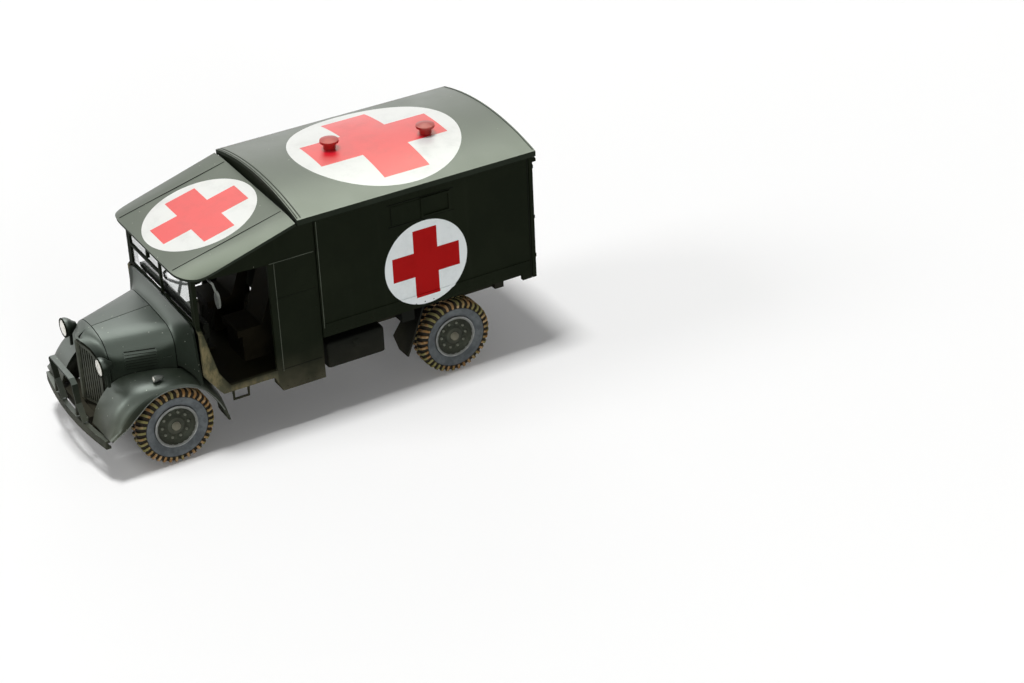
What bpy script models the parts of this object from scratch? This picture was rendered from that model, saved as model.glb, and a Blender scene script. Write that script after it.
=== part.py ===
"""A 1:48 scale model of a military ambulance truck, with a hollow box body and an open cab.

The front faces -Y, the left side is +X and the ground is at Z = 0. Lengths are in metres.
Fore and aft places are measured from the front axle, whose datum carries every piece.
"""

import math

import bmesh
import bpy
from mathutils import Matrix, Vector

# Driving sizes of the whole vehicle
WHEELBASE = 0.0740
TYRE_RADIUS = 0.0096
TYRE_WIDTH = 0.0056
TRACK_OUTSIDE = 0.0205
BODY_HALF_WIDTH = 0.02175
CAB_SET_IN = 0.00035
BODY_FRONT = 0.0340
BODY_REAR = 0.0966
BODY_BOTTOM = 0.0217
ROOF_EDGE_HEIGHT = 0.0545
ROOF_RISE = 0.0030
CAB_HALF_WIDTH = BODY_HALF_WIDTH - CAB_SET_IN
BUMPER_FRONT = -0.0188
GUARD_REACH = 0.0008
STEP_REAR = 0.0978

# Stock thicknesses and the gaps between pieces
WALL = 0.0010
SHELL = 0.0006
GLASS = 0.0003
SEAT_GAP = 0.0002
RUNNING_GAP = 0.0003
OVERRUN = 0.0010
WELD = 0.000001

# Facets round a full turn
TYRE_STEPS = 36
ROUND_STEPS = 20
LAMP_STEPS = 16
SMALL_STEPS = 12
WIRE_STEPS = 8
SHARP_ANGLE = math.radians(35.0)

WHEEL_CENTRE = TRACK_OUTSIDE - TYRE_WIDTH / 2
ROOF_CROWN_HEIGHT = ROOF_EDGE_HEIGHT + ROOF_RISE
DATUM_SHIFT = -(BUMPER_FRONT - GUARD_REACH + STEP_REAR) / 2

PARTS = bpy.data.collections.new("ambulance_truck")


def clear_scene():
    for old in list(bpy.data.objects):
        bpy.data.objects.remove(old, do_unlink=True)
    bpy.context.scene.collection.children.link(PARTS)


def material(name, colour, roughness, metallic=0.0):
    mat = bpy.data.materials.new(name)
    mat.use_nodes = True
    mat.diffuse_color = (*colour, 1.0)
    shader = mat.node_tree.nodes["Principled BSDF"]
    shader.inputs["Base Color"].default_value = (*colour, 1.0)
    shader.inputs["Roughness"].default_value = roughness
    shader.inputs["Metallic"].default_value = metallic
    return mat


def empty(name, place, parent=None):
    marker = bpy.data.objects.new(name, None)
    marker.location = place
    marker.parent = parent
    marker.empty_display_size = TYRE_WIDTH
    PARTS.objects.link(marker)
    return marker


def piece_from_bmesh(name, bm):
    mesh = bpy.data.meshes.new(name)
    bm.to_mesh(mesh)
    bm.free()
    obj = bpy.data.objects.new(name, mesh)
    PARTS.objects.link(obj)
    return obj


def bake(obj):
    """Turns a curve or a piece with modifiers into one plain closed mesh."""
    graph = bpy.context.evaluated_depsgraph_get()
    graph.update()
    mesh = bpy.data.meshes.new_from_object(obj.evaluated_get(graph), depsgraph=graph)
    name = obj.name
    matrix = obj.matrix_world.copy()
    bpy.data.objects.remove(obj, do_unlink=True)
    bm = bmesh.new()
    bm.from_mesh(mesh)
    bmesh.ops.transform(bm, matrix=matrix, verts=bm.verts)
    bmesh.ops.remove_doubles(bm, verts=bm.verts, dist=WELD)
    bmesh.ops.dissolve_degenerate(bm, edges=bm.edges, dist=WELD)
    bmesh.ops.recalc_face_normals(bm, faces=bm.faces)
    bpy.data.meshes.remove(mesh)
    return piece_from_bmesh(name, bm)


def block(name, low, high):
    """An upright box between two corners."""
    centre = (Vector(low) + Vector(high)) / 2
    size = Vector(high) - Vector(low)
    bm = bmesh.new()
    bmesh.ops.create_cube(bm, size=1.0, matrix=Matrix.Translation(centre) @ Matrix.Diagonal(size).to_4x4())
    return piece_from_bmesh(name, bm)


def rod(name, start, end, radius, end_radius=None, steps=SMALL_STEPS):
    """A straight round bar, tapered where the second radius differs."""
    start, end = Vector(start), Vector(end)
    run = end - start
    turn = run.to_track_quat("Z", "Y").to_matrix().to_4x4()
    bm = bmesh.new()
    bmesh.ops.create_cone(bm, cap_ends=True, segments=steps, radius1=radius,
                          radius2=radius if end_radius is None else end_radius, depth=run.length,
                          matrix=Matrix.Translation((start + end) / 2) @ turn)
    return piece_from_bmesh(name, bm)


# Local axes of a flat outline: side is (Y, Z), front is (X, Z) and top is (X, Y)
PLANES = {
    "side": Matrix(((0, 0, 1), (1, 0, 0), (0, 1, 0))),
    "front": Matrix(((1, 0, 0), (0, 0, -1), (0, 1, 0))),
    "top": Matrix.Identity(3),
}


def plate(name, outlines, plane, near, far):
    """A flat plate cut from its outline and holes, between two places across its plane."""
    curve = bpy.data.curves.new(name, "CURVE")
    curve.dimensions = "2D"
    curve.fill_mode = "BOTH"
    curve.extrude = abs(far - near) / 2
    for outline in outlines:
        spline = curve.splines.new("POLY")
        spline.points.add(len(outline) - 1)
        for point, (a, b) in zip(spline.points, outline):
            point.co = (a, b, 0, 1)
        spline.use_cyclic_u = True
    obj = bpy.data.objects.new(name, curve)
    PARTS.objects.link(obj)
    turn = PLANES[plane]
    across = turn @ Vector((0, 0, 1))
    middle = across * ((near + far) / 2 * (across.x + across.y + across.z))
    obj.matrix_world = Matrix.Translation(middle) @ turn.to_4x4()
    bpy.context.view_layer.update()
    return bake(obj)


def hull(name, corners):
    """A solid stretched round its corner points."""
    bm = bmesh.new()
    for corner in corners:
        bm.verts.new(corner)
    bmesh.ops.convex_hull(bm, input=bm.verts)
    bmesh.ops.recalc_face_normals(bm, faces=bm.faces)
    return piece_from_bmesh(name, bm)


def tube(name, points, radius, cyclic=False):
    """A round wire along its points."""
    curve = bpy.data.curves.new(name, "CURVE")
    curve.dimensions = "3D"
    curve.bevel_depth = radius
    curve.bevel_resolution = 2
    curve.use_fill_caps = True
    spline = curve.splines.new("POLY")
    spline.points.add(len(points) - 1)
    for point, place in zip(spline.points, points):
        point.co = (*place, 1)
    spline.use_cyclic_u = cyclic
    obj = bpy.data.objects.new(name, curve)
    PARTS.objects.link(obj)
    return bake(obj)


def turned(name, profile, place, axis, steps=ROUND_STEPS, ring=False):
    """A turned piece: (radius, height) points down the outer side, about an axis at a place."""
    bm = bmesh.new()
    verts = [bm.verts.new((radius, 0, height)) for radius, height in profile]
    for first, second in zip(verts, verts[1:]):
        bm.edges.new((first, second))
    if ring:
        bm.edges.new((verts[-1], verts[0]))
    obj = piece_from_bmesh(name, bm)
    screw = obj.modifiers.new("Screw", "SCREW")
    screw.steps = steps
    screw.render_steps = steps
    screw.use_merge_vertices = True
    screw.merge_threshold = WELD
    obj.matrix_world = Matrix.Translation(place) @ Vector(axis).to_track_quat("Z", "Y").to_matrix().to_4x4()
    bpy.context.view_layer.update()
    return bake(obj)


def sheet(name, across, along, shape, thickness):
    """A shell: a grid bent by shape(u, v), both from 0 to 1, and thickened behind its face."""
    bm = bmesh.new()
    bmesh.ops.create_grid(bm, x_segments=across, y_segments=along, size=0.5)
    for vert in bm.verts:
        vert.co = shape(vert.co.x + 0.5, vert.co.y + 0.5)
    obj = piece_from_bmesh(name, bm)
    solidify = obj.modifiers.new("Solidify", "SOLIDIFY")
    solidify.thickness = thickness
    solidify.offset = -1.0
    solidify.use_even_offset = True
    return bake(obj)


def boolean(target, tools, operation):
    for tool in tools:
        modifier = target.modifiers.new(operation, "BOOLEAN")
        modifier.operation = operation
        modifier.solver = "EXACT"
        modifier.object = tool
    result = bake(target)
    for tool in tools:
        bpy.data.objects.remove(tool, do_unlink=True)
    return result


def join(target, tools):
    return boolean(target, tools, "UNION")


def cut(target, tools):
    return boolean(target, tools, "DIFFERENCE")


def mirrored(obj, name):
    """A copy of a left-hand piece for the right-hand side."""
    mesh = obj.data.copy()
    mesh.transform(Matrix.Diagonal((-1, 1, 1, 1)))
    mesh.flip_normals()
    twin = bpy.data.objects.new(name, mesh)
    PARTS.objects.link(twin)
    return twin


def finish(obj, mat, parent, smooth=False):
    """Gives a piece its material and parent, and its shading."""
    obj.data.name = obj.name
    obj.data.materials.clear()
    obj.data.materials.append(mat)
    obj.parent = parent
    if smooth:
        obj.data.shade_smooth()
        obj.data.set_sharp_from_angle(angle=SHARP_ANGLE)
    return obj


def arc(centre, radius, start, end, steps):
    """Points on a circular arc, in degrees."""
    points = []
    for step in range(steps + 1):
        angle = math.radians(start + (end - start) * step / steps)
        points.append((centre[0] + radius * math.cos(angle), centre[1] + radius * math.sin(angle)))
    return points


def rectangle(low, high):
    return [(low[0], low[1]), (high[0], low[1]), (high[0], high[1]), (low[0], high[1])]


def bar(start, end, width):
    """The outline of a straight flat bar along a line."""
    start, end = Vector(start), Vector(end)
    along = (end - start).normalized()
    side = Vector((-along.y, along.x)) * width / 2
    return [tuple(start - side), tuple(end - side), tuple(end + side), tuple(start + side)]


def both_sides(side, inner, outer):
    """The lower and upper X of a piece between two distances from the centre, on one side."""
    return sorted((side * inner, side * outer))


def blend(low, high, share):
    return low + (high - low) * share


def from_table(rows, place, column):
    """Reads a column of a table of stations at a place between its first column's values."""
    if place <= rows[0][0]:
        return rows[0][column]
    for before, after in zip(rows, rows[1:]):
        if place <= after[0]:
            share = (place - before[0]) / (after[0] - before[0])
            return blend(before[column], after[column], share)
    return rows[-1][column]


# Wheels
RIM_RADIUS = 0.0053
RIM_INNER_RADIUS = 0.0046
RIM_HALF_WIDTH = 0.0024
RIM_LIP = 0.0004
TYRE_SHOULDER = 0.0009
TYRE_BEAD_HALF_WIDTH = 0.0021
DISC_FACE = 0.0012
DISC_THICKNESS = 0.0008
HUB_RADIUS = 0.0022
HUB_FACE = 0.0019
HUB_CAP_RADIUS = 0.0010
HUB_CAP_FACE = 0.0025
HUB_INNER_FACE = -0.0010
AXLE_RADIUS = 0.0008
AXLE_END = 0.0004
NUT_RING_RADIUS = 0.0033
NUT_RADIUS = 0.00035
NUT_HEIGHT = 0.0004
NUT_COUNT = 10

TYRE_SECTION_STEPS = 3


def tyre_profile():
    """A closed section: bulged sidewalls from the beads up to the shoulders of a flat tread."""
    half = TYRE_WIDTH / 2
    bead = RIM_RADIUS + SEAT_GAP
    top = TYRE_RADIUS - TYRE_SHOULDER
    side = []
    for step in range(TYRE_SECTION_STEPS + 1):
        share = step / TYRE_SECTION_STEPS
        bulge = math.sin(math.pi / 2 * share)
        side.append((blend(bead, top, share), blend(TYRE_BEAD_HALF_WIDTH, half, bulge)))
    side.append((TYRE_RADIUS, half - TYRE_SHOULDER))
    return side + [(radius, -height) for radius, height in reversed(side)]


def make_wheel(corner, hub):
    """A tyre on a divided disc wheel, turning about its hub's empty, outer face at +X or -X."""
    outward = 1 if "left" in corner else -1
    axis = (outward, 0, 0)
    tyre = turned("tyre_" + corner, tyre_profile(), (0, 0, 0), axis, TYRE_STEPS, ring=True)
    bore = AXLE_RADIUS + RUNNING_GAP
    bottom = AXLE_END + RUNNING_GAP
    disc_back = DISC_FACE - DISC_THICKNESS
    profile = [
        (0, HUB_CAP_FACE), (HUB_CAP_RADIUS, HUB_CAP_FACE), (HUB_CAP_RADIUS, HUB_FACE),
        (HUB_RADIUS, HUB_FACE), (HUB_RADIUS, DISC_FACE), (RIM_INNER_RADIUS, DISC_FACE),
        (RIM_INNER_RADIUS + RIM_LIP / 2, RIM_HALF_WIDTH), (RIM_RADIUS, RIM_HALF_WIDTH),
        (RIM_RADIUS, -RIM_HALF_WIDTH), (RIM_INNER_RADIUS, -RIM_HALF_WIDTH),
        (RIM_INNER_RADIUS, disc_back), (HUB_RADIUS, disc_back), (HUB_RADIUS, HUB_INNER_FACE),
        (bore, HUB_INNER_FACE), (bore, bottom), (0, bottom),
    ]
    disc = turned("wheel_disc_" + corner, profile, (0, 0, 0), axis, ROUND_STEPS)
    nuts = []
    for number in range(NUT_COUNT):
        angle = math.tau * number / NUT_COUNT
        spot = Vector((0, NUT_RING_RADIUS * math.cos(angle), NUT_RING_RADIUS * math.sin(angle)))
        face = outward * (DISC_FACE + NUT_HEIGHT)
        root = outward * (DISC_FACE - DISC_THICKNESS / 2)
        nuts.append(rod("nut", spot + Vector((root, 0, 0)), spot + Vector((face, 0, 0)), NUT_RADIUS, steps=6))
    disc = join(disc, nuts)
    finish(tyre, RUBBER, hub, smooth=True)
    finish(disc, BODY_PAINT, hub, smooth=True)


def make_wheels(datum):
    for end, place in (("front", 0), ("rear", WHEELBASE)):
        for side, outward in (("left", 1), ("right", -1)):
            corner = end + "_" + side
            hub = empty("hub_" + corner, (outward * WHEEL_CENTRE, place, TYRE_RADIUS), datum)
            make_wheel(corner, hub)


# Chassis
RAIL_CENTRE = 0.0070
RAIL_WIDTH = 0.0016
RAIL_BOTTOM = 0.0124
RAIL_TOP = 0.0146
RAIL_FRONT = -0.0165
RAIL_DROP = 0.0031
RAIL_DROP_START = -0.0088
RAIL_DROP_END = -0.0112
RAIL_REAR = 0.0940
CROSS_MEMBER = 0.0018
CROSS_MEMBER_SHARES = (0.0, 0.36, 0.56, 0.76, 1.0)
DRUM_RADIUS = 0.0036
DRUM_WIDTH = 0.0022
DRUM_FACE = WHEEL_CENTRE + HUB_INNER_FACE - RUNNING_GAP
AXLE_TUBE_RADIUS = 0.0011
DIFFERENTIAL_RADIUS = 0.0032
FRONT_BEAM_DROP = 0.0013
FRONT_BEAM_HALF = 0.0006
FRONT_BEAM_RISE_AT = 0.0115
SPRING_HALF_LENGTH = 0.0084
SPRING_WIDTH = 0.0012
SPRING_THICKNESS = 0.0008
SPRING_CAMBER = 0.0010
SPRING_HANGER = 0.0012
HANGER_WIDTH = 0.0008
SPRING_STEPS = 8


def make_frame(datum):
    """A ladder frame: two straight rails that drop to their front horns, tied by cross members."""
    profile = [
        (RAIL_FRONT, RAIL_BOTTOM - RAIL_DROP), (RAIL_DROP_END, RAIL_BOTTOM - RAIL_DROP),
        (RAIL_DROP_START, RAIL_BOTTOM), (RAIL_REAR, RAIL_BOTTOM), (RAIL_REAR, RAIL_TOP),
        (RAIL_DROP_START, RAIL_TOP), (RAIL_DROP_END, RAIL_TOP - RAIL_DROP),
        (RAIL_FRONT, RAIL_TOP - RAIL_DROP),
    ]
    rails = []
    for name, side in (("chassis_frame", 1), ("rail", -1)):
        near, far = both_sides(side, RAIL_CENTRE - RAIL_WIDTH / 2, RAIL_CENTRE + RAIL_WIDTH / 2)
        rails.append(plate(name, [profile], "side", near, far))
    members = []
    for share in CROSS_MEMBER_SHARES:
        place = blend(RAIL_FRONT + CROSS_MEMBER / 2, RAIL_REAR - CROSS_MEMBER / 2, share)
        drop = RAIL_DROP if place < RAIL_DROP_END else 0
        members.append(block("member", (-RAIL_CENTRE, place - CROSS_MEMBER / 2, RAIL_BOTTOM - drop),
                             (RAIL_CENTRE, place + CROSS_MEMBER / 2, RAIL_TOP - drop)))
    finish(join(rails[0], [rails[1]] + members), CHASSIS_PAINT, datum)


def spring(place, seat):
    """A pair of cambered leaf packs with hangers, from just under the rails down to the axle's seat."""
    packs = []
    top = RAIL_BOTTOM - SEAT_GAP
    low_x, high_x = RAIL_CENTRE - SPRING_WIDTH / 2, RAIL_CENTRE + SPRING_WIDTH / 2
    upper, lower = [], []
    for step in range(SPRING_STEPS + 1):
        share = 2 * step / SPRING_STEPS - 1
        y = place + share * SPRING_HALF_LENGTH
        z = seat + SPRING_CAMBER * share * share
        upper.append((y, z + SPRING_THICKNESS))
        lower.append((y, z))
    outline = upper + lower[::-1]
    for sign in (1, -1):
        packs.append(plate("leaf_pack", [outline], "side", sign * low_x, sign * high_x))
        for end in (-1, 1):
            y = place + end * (SPRING_HALF_LENGTH - SPRING_HANGER / 2)
            near, far = both_sides(sign, RAIL_CENTRE - HANGER_WIDTH / 2, RAIL_CENTRE + HANGER_WIDTH / 2)
            packs.append(block("hanger", (near, y - SPRING_HANGER / 2, seat + SPRING_CAMBER / 2),
                               (far, y + SPRING_HANGER / 2, top)))
    return packs


def axle_ends(place):
    """Brake drums behind the wheels, and the stubs that the wheels turn on."""
    pieces = []
    for sign in (1, -1):
        drum_out = sign * DRUM_FACE
        drum_in = sign * (DRUM_FACE - DRUM_WIDTH)
        tip = sign * (WHEEL_CENTRE + AXLE_END)
        pieces.append(rod("drum", (drum_in, place, TYRE_RADIUS), (drum_out, place, TYRE_RADIUS),
                          DRUM_RADIUS, steps=LAMP_STEPS))
        pieces.append(rod("stub", (drum_in, place, TYRE_RADIUS), (tip, place, TYRE_RADIUS), AXLE_RADIUS,
                          steps=WIRE_STEPS))
    return pieces


def make_front_axle(datum):
    """A forged beam with raised ends, its springs and its drums."""
    low = TYRE_RADIUS - FRONT_BEAM_DROP - FRONT_BEAM_HALF
    high = TYRE_RADIUS - FRONT_BEAM_DROP + FRONT_BEAM_HALF
    end_low = TYRE_RADIUS - FRONT_BEAM_HALF
    end_high = TYRE_RADIUS + FRONT_BEAM_HALF
    tip = DRUM_FACE - DRUM_WIDTH / 2
    half = [(FRONT_BEAM_RISE_AT - RAIL_WIDTH, low), (FRONT_BEAM_RISE_AT, end_low), (tip, end_low),
            (tip, end_high), (FRONT_BEAM_RISE_AT, end_high), (FRONT_BEAM_RISE_AT - RAIL_WIDTH, high)]
    outline = half + [(-x, z) for x, z in reversed(half)]
    beam = plate("front_axle", [outline], "front", -AXLE_TUBE_RADIUS, AXLE_TUBE_RADIUS)
    beam = join(beam, axle_ends(0) + spring(0, high - SPRING_THICKNESS / 2))
    finish(beam, CHASSIS_PAINT, datum, smooth=True)


def make_rear_axle(datum):
    """A live axle with a round differential, its springs and its drums."""
    reach = DRUM_FACE - DRUM_WIDTH / 2
    axle = rod("rear_axle", (-reach, WHEELBASE, TYRE_RADIUS), (reach, WHEELBASE, TYRE_RADIUS),
               AXLE_TUBE_RADIUS)
    profile = arc((0, 0), DIFFERENTIAL_RADIUS, 90, -90, SMALL_STEPS // 2)
    ball = turned("differential", profile, (0, WHEELBASE, TYRE_RADIUS), (0, 0, 1), SMALL_STEPS)
    seat = TYRE_RADIUS + AXLE_TUBE_RADIUS - SPRING_THICKNESS / 2
    axle = join(axle, [ball] + axle_ends(WHEELBASE) + spring(WHEELBASE, seat))
    finish(axle, CHASSIS_PAINT, datum, smooth=True)


# Engine and drive line
ENGINE_HALF_WIDTH = 0.0046
ENGINE_FRONT = -0.0075
ENGINE_REAR = 0.0065
ENGINE_BOTTOM = 0.0116
ENGINE_TOP = 0.0245
GEARBOX_HALF_WIDTH = 0.0028
GEARBOX_LENGTH = 0.0100
GEARBOX_HEIGHT = 0.0040
SHAFT_RADIUS = 0.0006
SHAFT_HEIGHT = 0.0113
EXHAUST_RADIUS = 0.0006
SILENCER_RADIUS = 0.0016
EXHAUST_X = -0.0054
EXHAUST_HEIGHT = 0.0105
SILENCER_FRONT = 0.0300
SILENCER_REAR = 0.0440
EXHAUST_REAR = 0.0600


def make_engine(datum):
    engine = block("engine_block", (-ENGINE_HALF_WIDTH, ENGINE_FRONT, ENGINE_BOTTOM),
                   (ENGINE_HALF_WIDTH, ENGINE_REAR, ENGINE_TOP))
    finish(engine, CHASSIS_PAINT, datum)


def make_drive_line(datum):
    """The gearbox behind the engine and the shaft that runs back to the differential."""
    front = ENGINE_REAR + SEAT_GAP
    rear = front + GEARBOX_LENGTH
    middle = (ENGINE_BOTTOM + RAIL_BOTTOM) / 2
    box = block("propeller_shaft", (-GEARBOX_HALF_WIDTH, front, middle - GEARBOX_HEIGHT / 2),
                (GEARBOX_HALF_WIDTH, rear, middle + GEARBOX_HEIGHT / 2))
    end = WHEELBASE - DIFFERENTIAL_RADIUS - SEAT_GAP
    shaft = rod("shaft", (0, rear - OVERRUN, SHAFT_HEIGHT), (0, end, TYRE_RADIUS), SHAFT_RADIUS)
    finish(join(box, [shaft]), CHASSIS_PAINT, datum)


def make_exhaust(datum):
    """The pipe from the engine's side through a silencer, out under the body."""
    x, z = EXHAUST_X, EXHAUST_HEIGHT
    start = (-ENGINE_HALF_WIDTH - SEAT_GAP, ENGINE_REAR - GEARBOX_HEIGHT, ENGINE_BOTTOM + GEARBOX_HEIGHT)
    points = [start, (x, start[1], start[2]), (x, ENGINE_REAR, z), (x, EXHAUST_REAR, z)]
    pipe = tube("exhaust_pipe", points, EXHAUST_RADIUS)
    silencer = rod("silencer", (x, SILENCER_FRONT, z), (x, SILENCER_REAR, z), SILENCER_RADIUS)
    finish(join(pipe, [silencer]), CHASSIS_PAINT, datum, smooth=True)


# Nose, bonnet and scuttle
NOSE_RIDGE = -0.0146
NOSE_SIDE = -0.0119
BONNET_FRONT = -0.0104
BONNET_REAR = 0.0042
SCUTTLE_REAR = 0.0070
BONNET_FRONT_HALF = 0.0096
BONNET_REAR_HALF = 0.0138
SCUTTLE_SET_IN = 0.0005
SCUTTLE_TOP_SET_IN = 0.0025
SCUTTLE_HALF = CAB_HALF_WIDTH - SCUTTLE_SET_IN
SCUTTLE_TOP_HALF = CAB_HALF_WIDTH - SCUTTLE_TOP_SET_IN
BONNET_FRONT_CROWN = 0.0304
BONNET_REAR_CROWN = 0.0313
SCUTTLE_CROWN = 0.0340
FRONT_SHOULDER = 0.0062
REAR_SHOULDER = 0.0050
SCUTTLE_SHOULDER = 0.0030
CROWN_FALL = 0.0004
BONNET_FOOT = 0.0175
SHELL_FOOT = 0.0118
NOSE_TAPER = 0.0013
NOSE_DROP = 0.0019
FLARE_POWER = 1.6
SCUTTLE_STEPS = 6
SECTION_STEPS = 10
TOP_SHARE = 0.25
SHOULDER_SHARE = 0.75
GRILLE_THICKNESS = 0.0006
GRILLE_BOTTOM = 0.0122
GRILLE_RAIL = 0.0007
GRILLE_SLOTS = 8
SLOT_SHARE = 0.5
CORE_HALF_WIDTH = 0.0059
CORE_BACK = -0.0086
CORE_FRONT = -0.0104
CORE_TOP = 0.0250
LOUVRE_FRONT = -0.0072
LOUVRE_REAR = 0.0001
LOUVRE_BOTTOM = 0.0229
LOUVRE_TOP = 0.0271
LOUVRE_COUNT = 6
LOUVRE_SHARE = 0.75
LOUVRE_DEPTH = 0.0003
HANDLE_PLACE = 0.0014
HANDLE_LENGTH = 0.0018
HANDLE_HEIGHT = 0.0240
HANDLE_WIDTH = 0.0004
NOTCH_LENGTH = 0.0020
NOTCH_WIDTH = 0.0010
NOTCH_START = -0.0141
BODY_PLUNGE = 0.0030


def section_point(half, crown, shoulder, foot, around):
    """A point on half of an arched section: a falling top, a round shoulder and an upright side."""
    fall = CROWN_FALL
    if around <= TOP_SHARE:
        share = around / TOP_SHARE
        return (half - shoulder) * share, crown - fall * share * share
    if around <= SHOULDER_SHARE:
        angle = math.pi / 2 * (around - TOP_SHARE) / (SHOULDER_SHARE - TOP_SHARE)
        out, up = shoulder * math.sin(angle), shoulder * math.cos(angle)
        return half - shoulder + out, crown - fall - shoulder + up
    share = (around - SHOULDER_SHARE) / (1 - SHOULDER_SHARE)
    return half, blend(crown - fall - shoulder, foot, share)


def bonnet_point(along, around):
    half = blend(BONNET_FRONT_HALF, BONNET_REAR_HALF, along)
    crown = blend(BONNET_FRONT_CROWN, BONNET_REAR_CROWN, along)
    shoulder = blend(FRONT_SHOULDER, REAR_SHOULDER, along)
    x, z = section_point(half, crown, shoulder, BONNET_FOOT, around)
    return Vector((x, blend(BONNET_FRONT, BONNET_REAR, along), z))


def bonnet_side(place, height):
    """How far out the bonnet's face stands at a place and height on its side or shoulder."""
    along = (place - BONNET_FRONT) / (BONNET_REAR - BONNET_FRONT)
    half = blend(BONNET_FRONT_HALF, BONNET_REAR_HALF, along)
    shoulder = blend(FRONT_SHOULDER, REAR_SHOULDER, along)
    start = blend(BONNET_FRONT_CROWN, BONNET_REAR_CROWN, along) - CROWN_FALL - shoulder
    over = max(height - start, 0)
    return half - shoulder + math.sqrt(shoulder ** 2 - over ** 2)


def raised_strip(name, front, rear, low, high, depth, top_depth):
    """A strip along the bonnet's side that stands out by its depths at its bottom and top edges."""
    corners = []
    for place in (front, rear):
        for height, out in ((low, depth), (high, top_depth)):
            face = bonnet_side(place, height)
            corners.append((face - SHELL / 2, place, height))
            corners.append((face + out, place, height))
    return hull(name, corners)


def make_bonnet(datum):
    """Two halves that meet on the centre hinge line, with louvres and a catch on each side."""
    def left_half(u, v):
        point = bonnet_point(v, u)
        point.x = max(point.x, SEAT_GAP / 2)
        return point
    left = sheet("bonnet_left", SECTION_STEPS, 4, left_half, SHELL)
    strips = []
    pitch = (LOUVRE_TOP - LOUVRE_BOTTOM) / LOUVRE_COUNT
    for number in range(LOUVRE_COUNT):
        low = LOUVRE_BOTTOM + number * pitch
        strips.append(raised_strip("louvre", LOUVRE_FRONT, LOUVRE_REAR, low, low + pitch * LOUVRE_SHARE,
                                   LOUVRE_DEPTH, LOUVRE_DEPTH / 6))
    strips.append(raised_strip("catch", HANDLE_PLACE, HANDLE_PLACE + HANDLE_LENGTH, HANDLE_HEIGHT,
                               HANDLE_HEIGHT + HANDLE_WIDTH, LOUVRE_DEPTH, LOUVRE_DEPTH))
    left = join(left, strips)
    right = mirrored(left, "bonnet_right")
    for half in (left, right):
        finish(half, BODY_PAINT, datum, smooth=True)


def nose_front(x):
    """The V of the nose in plan: where the grille's plane stands at a distance from the centre."""
    return NOSE_RIDGE + (NOSE_SIDE - NOSE_RIDGE) * abs(x) / (BONNET_FRONT_HALF - NOSE_TAPER)


def nose_edge(around, inset=0.0):
    """The front edge of the radiator shell, or a line inset from it, as (x, z)."""
    x, z = section_point(BONNET_FRONT_HALF - NOSE_TAPER - inset, BONNET_FRONT_CROWN - NOSE_DROP - inset,
                         FRONT_SHOULDER - inset, SHELL_FOOT, around)
    return x, z


def make_radiator(datum):
    """The shell over the radiator, its V grille of upright bars and the core behind."""
    rear = BONNET_FRONT - SEAT_GAP

    def shell_point(u, v):
        side = 1 if u > 0.5 else -1
        around = abs(2 * u - 1)
        x, z = section_point(BONNET_FRONT_HALF, BONNET_FRONT_CROWN, FRONT_SHOULDER, SHELL_FOOT, around)
        front_x, front_z = nose_edge(around)
        forward = 1 - v
        curve = forward * forward
        x, z = blend(x, front_x, curve), blend(z, front_z, curve)
        return Vector((side * x, blend(rear, nose_front(x), forward), z))
    shell = sheet("radiator_shell", 2 * SECTION_STEPS, 4, shell_point, SHELL)
    crown = BONNET_FRONT_CROWN
    notch = []
    for height in (crown - BODY_PLUNGE, crown + BODY_PLUNGE):
        notch += [(NOTCH_WIDTH, NOTCH_START, height), (SHELL / 2, NOTCH_START, height),
                  (SHELL / 2, NOTCH_START + NOTCH_LENGTH, height)]
    shell = cut(shell, [hull("notch", notch)])
    finish(shell, BODY_PAINT, datum, smooth=True)
    make_grille(datum)
    core = block("radiator_core", (-CORE_HALF_WIDTH, CORE_FRONT, GRILLE_BOTTOM),
                 (CORE_HALF_WIDTH, CORE_BACK, CORE_TOP))
    finish(core, CHASSIS_PAINT, datum)


def grille_top(x, inset):
    """The height of the grille's arched edge at a distance from the centre."""
    low, high = 0.0, SHOULDER_SHARE
    for _ in range(SECTION_STEPS * 2):
        middle = (low + high) / 2
        if nose_edge(middle, inset)[0] < x:
            low = middle
        else:
            high = middle
    return nose_edge(low, inset)[1]


def make_grille(datum):
    inset = SHELL + SEAT_GAP
    half = nose_edge(1.0, inset)[0]
    slope = math.atan2(NOSE_SIDE - NOSE_RIDGE, BONNET_FRONT_HALF - NOSE_TAPER)
    stretch = 1 / math.cos(slope)
    edge = [nose_edge(step / SECTION_STEPS, inset) for step in range(SECTION_STEPS + 1)]
    outline = [(-GRILLE_RAIL, GRILLE_BOTTOM), (half * stretch, GRILLE_BOTTOM)]
    outline += [(x * stretch, z) for x, z in reversed(edge) if z > GRILLE_BOTTOM]
    outline.append((-GRILLE_RAIL, edge[0][1]))
    holes = []
    pitch = (half - 2 * GRILLE_RAIL) / GRILLE_SLOTS
    for slot in range(GRILLE_SLOTS):
        near = GRILLE_RAIL + slot * pitch + pitch * (1 - SLOT_SHARE) / 2
        far = near + pitch * SLOT_SHARE
        low, top = GRILLE_BOTTOM + GRILLE_RAIL, grille_top(far, inset + GRILLE_RAIL)
        holes.append(rectangle((near * stretch, low), (far * stretch, top)))
    left = plate("radiator_grille", [outline] + holes, "front", 0, GRILLE_THICKNESS)
    left.data.transform(Matrix.Translation((0, NOSE_RIDGE, 0)) @ Matrix.Rotation(slope, 4, "Z"))
    grille = join(left, [mirrored(left, "grille_half")])
    finish(grille, CHASSIS_PAINT, datum)


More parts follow.
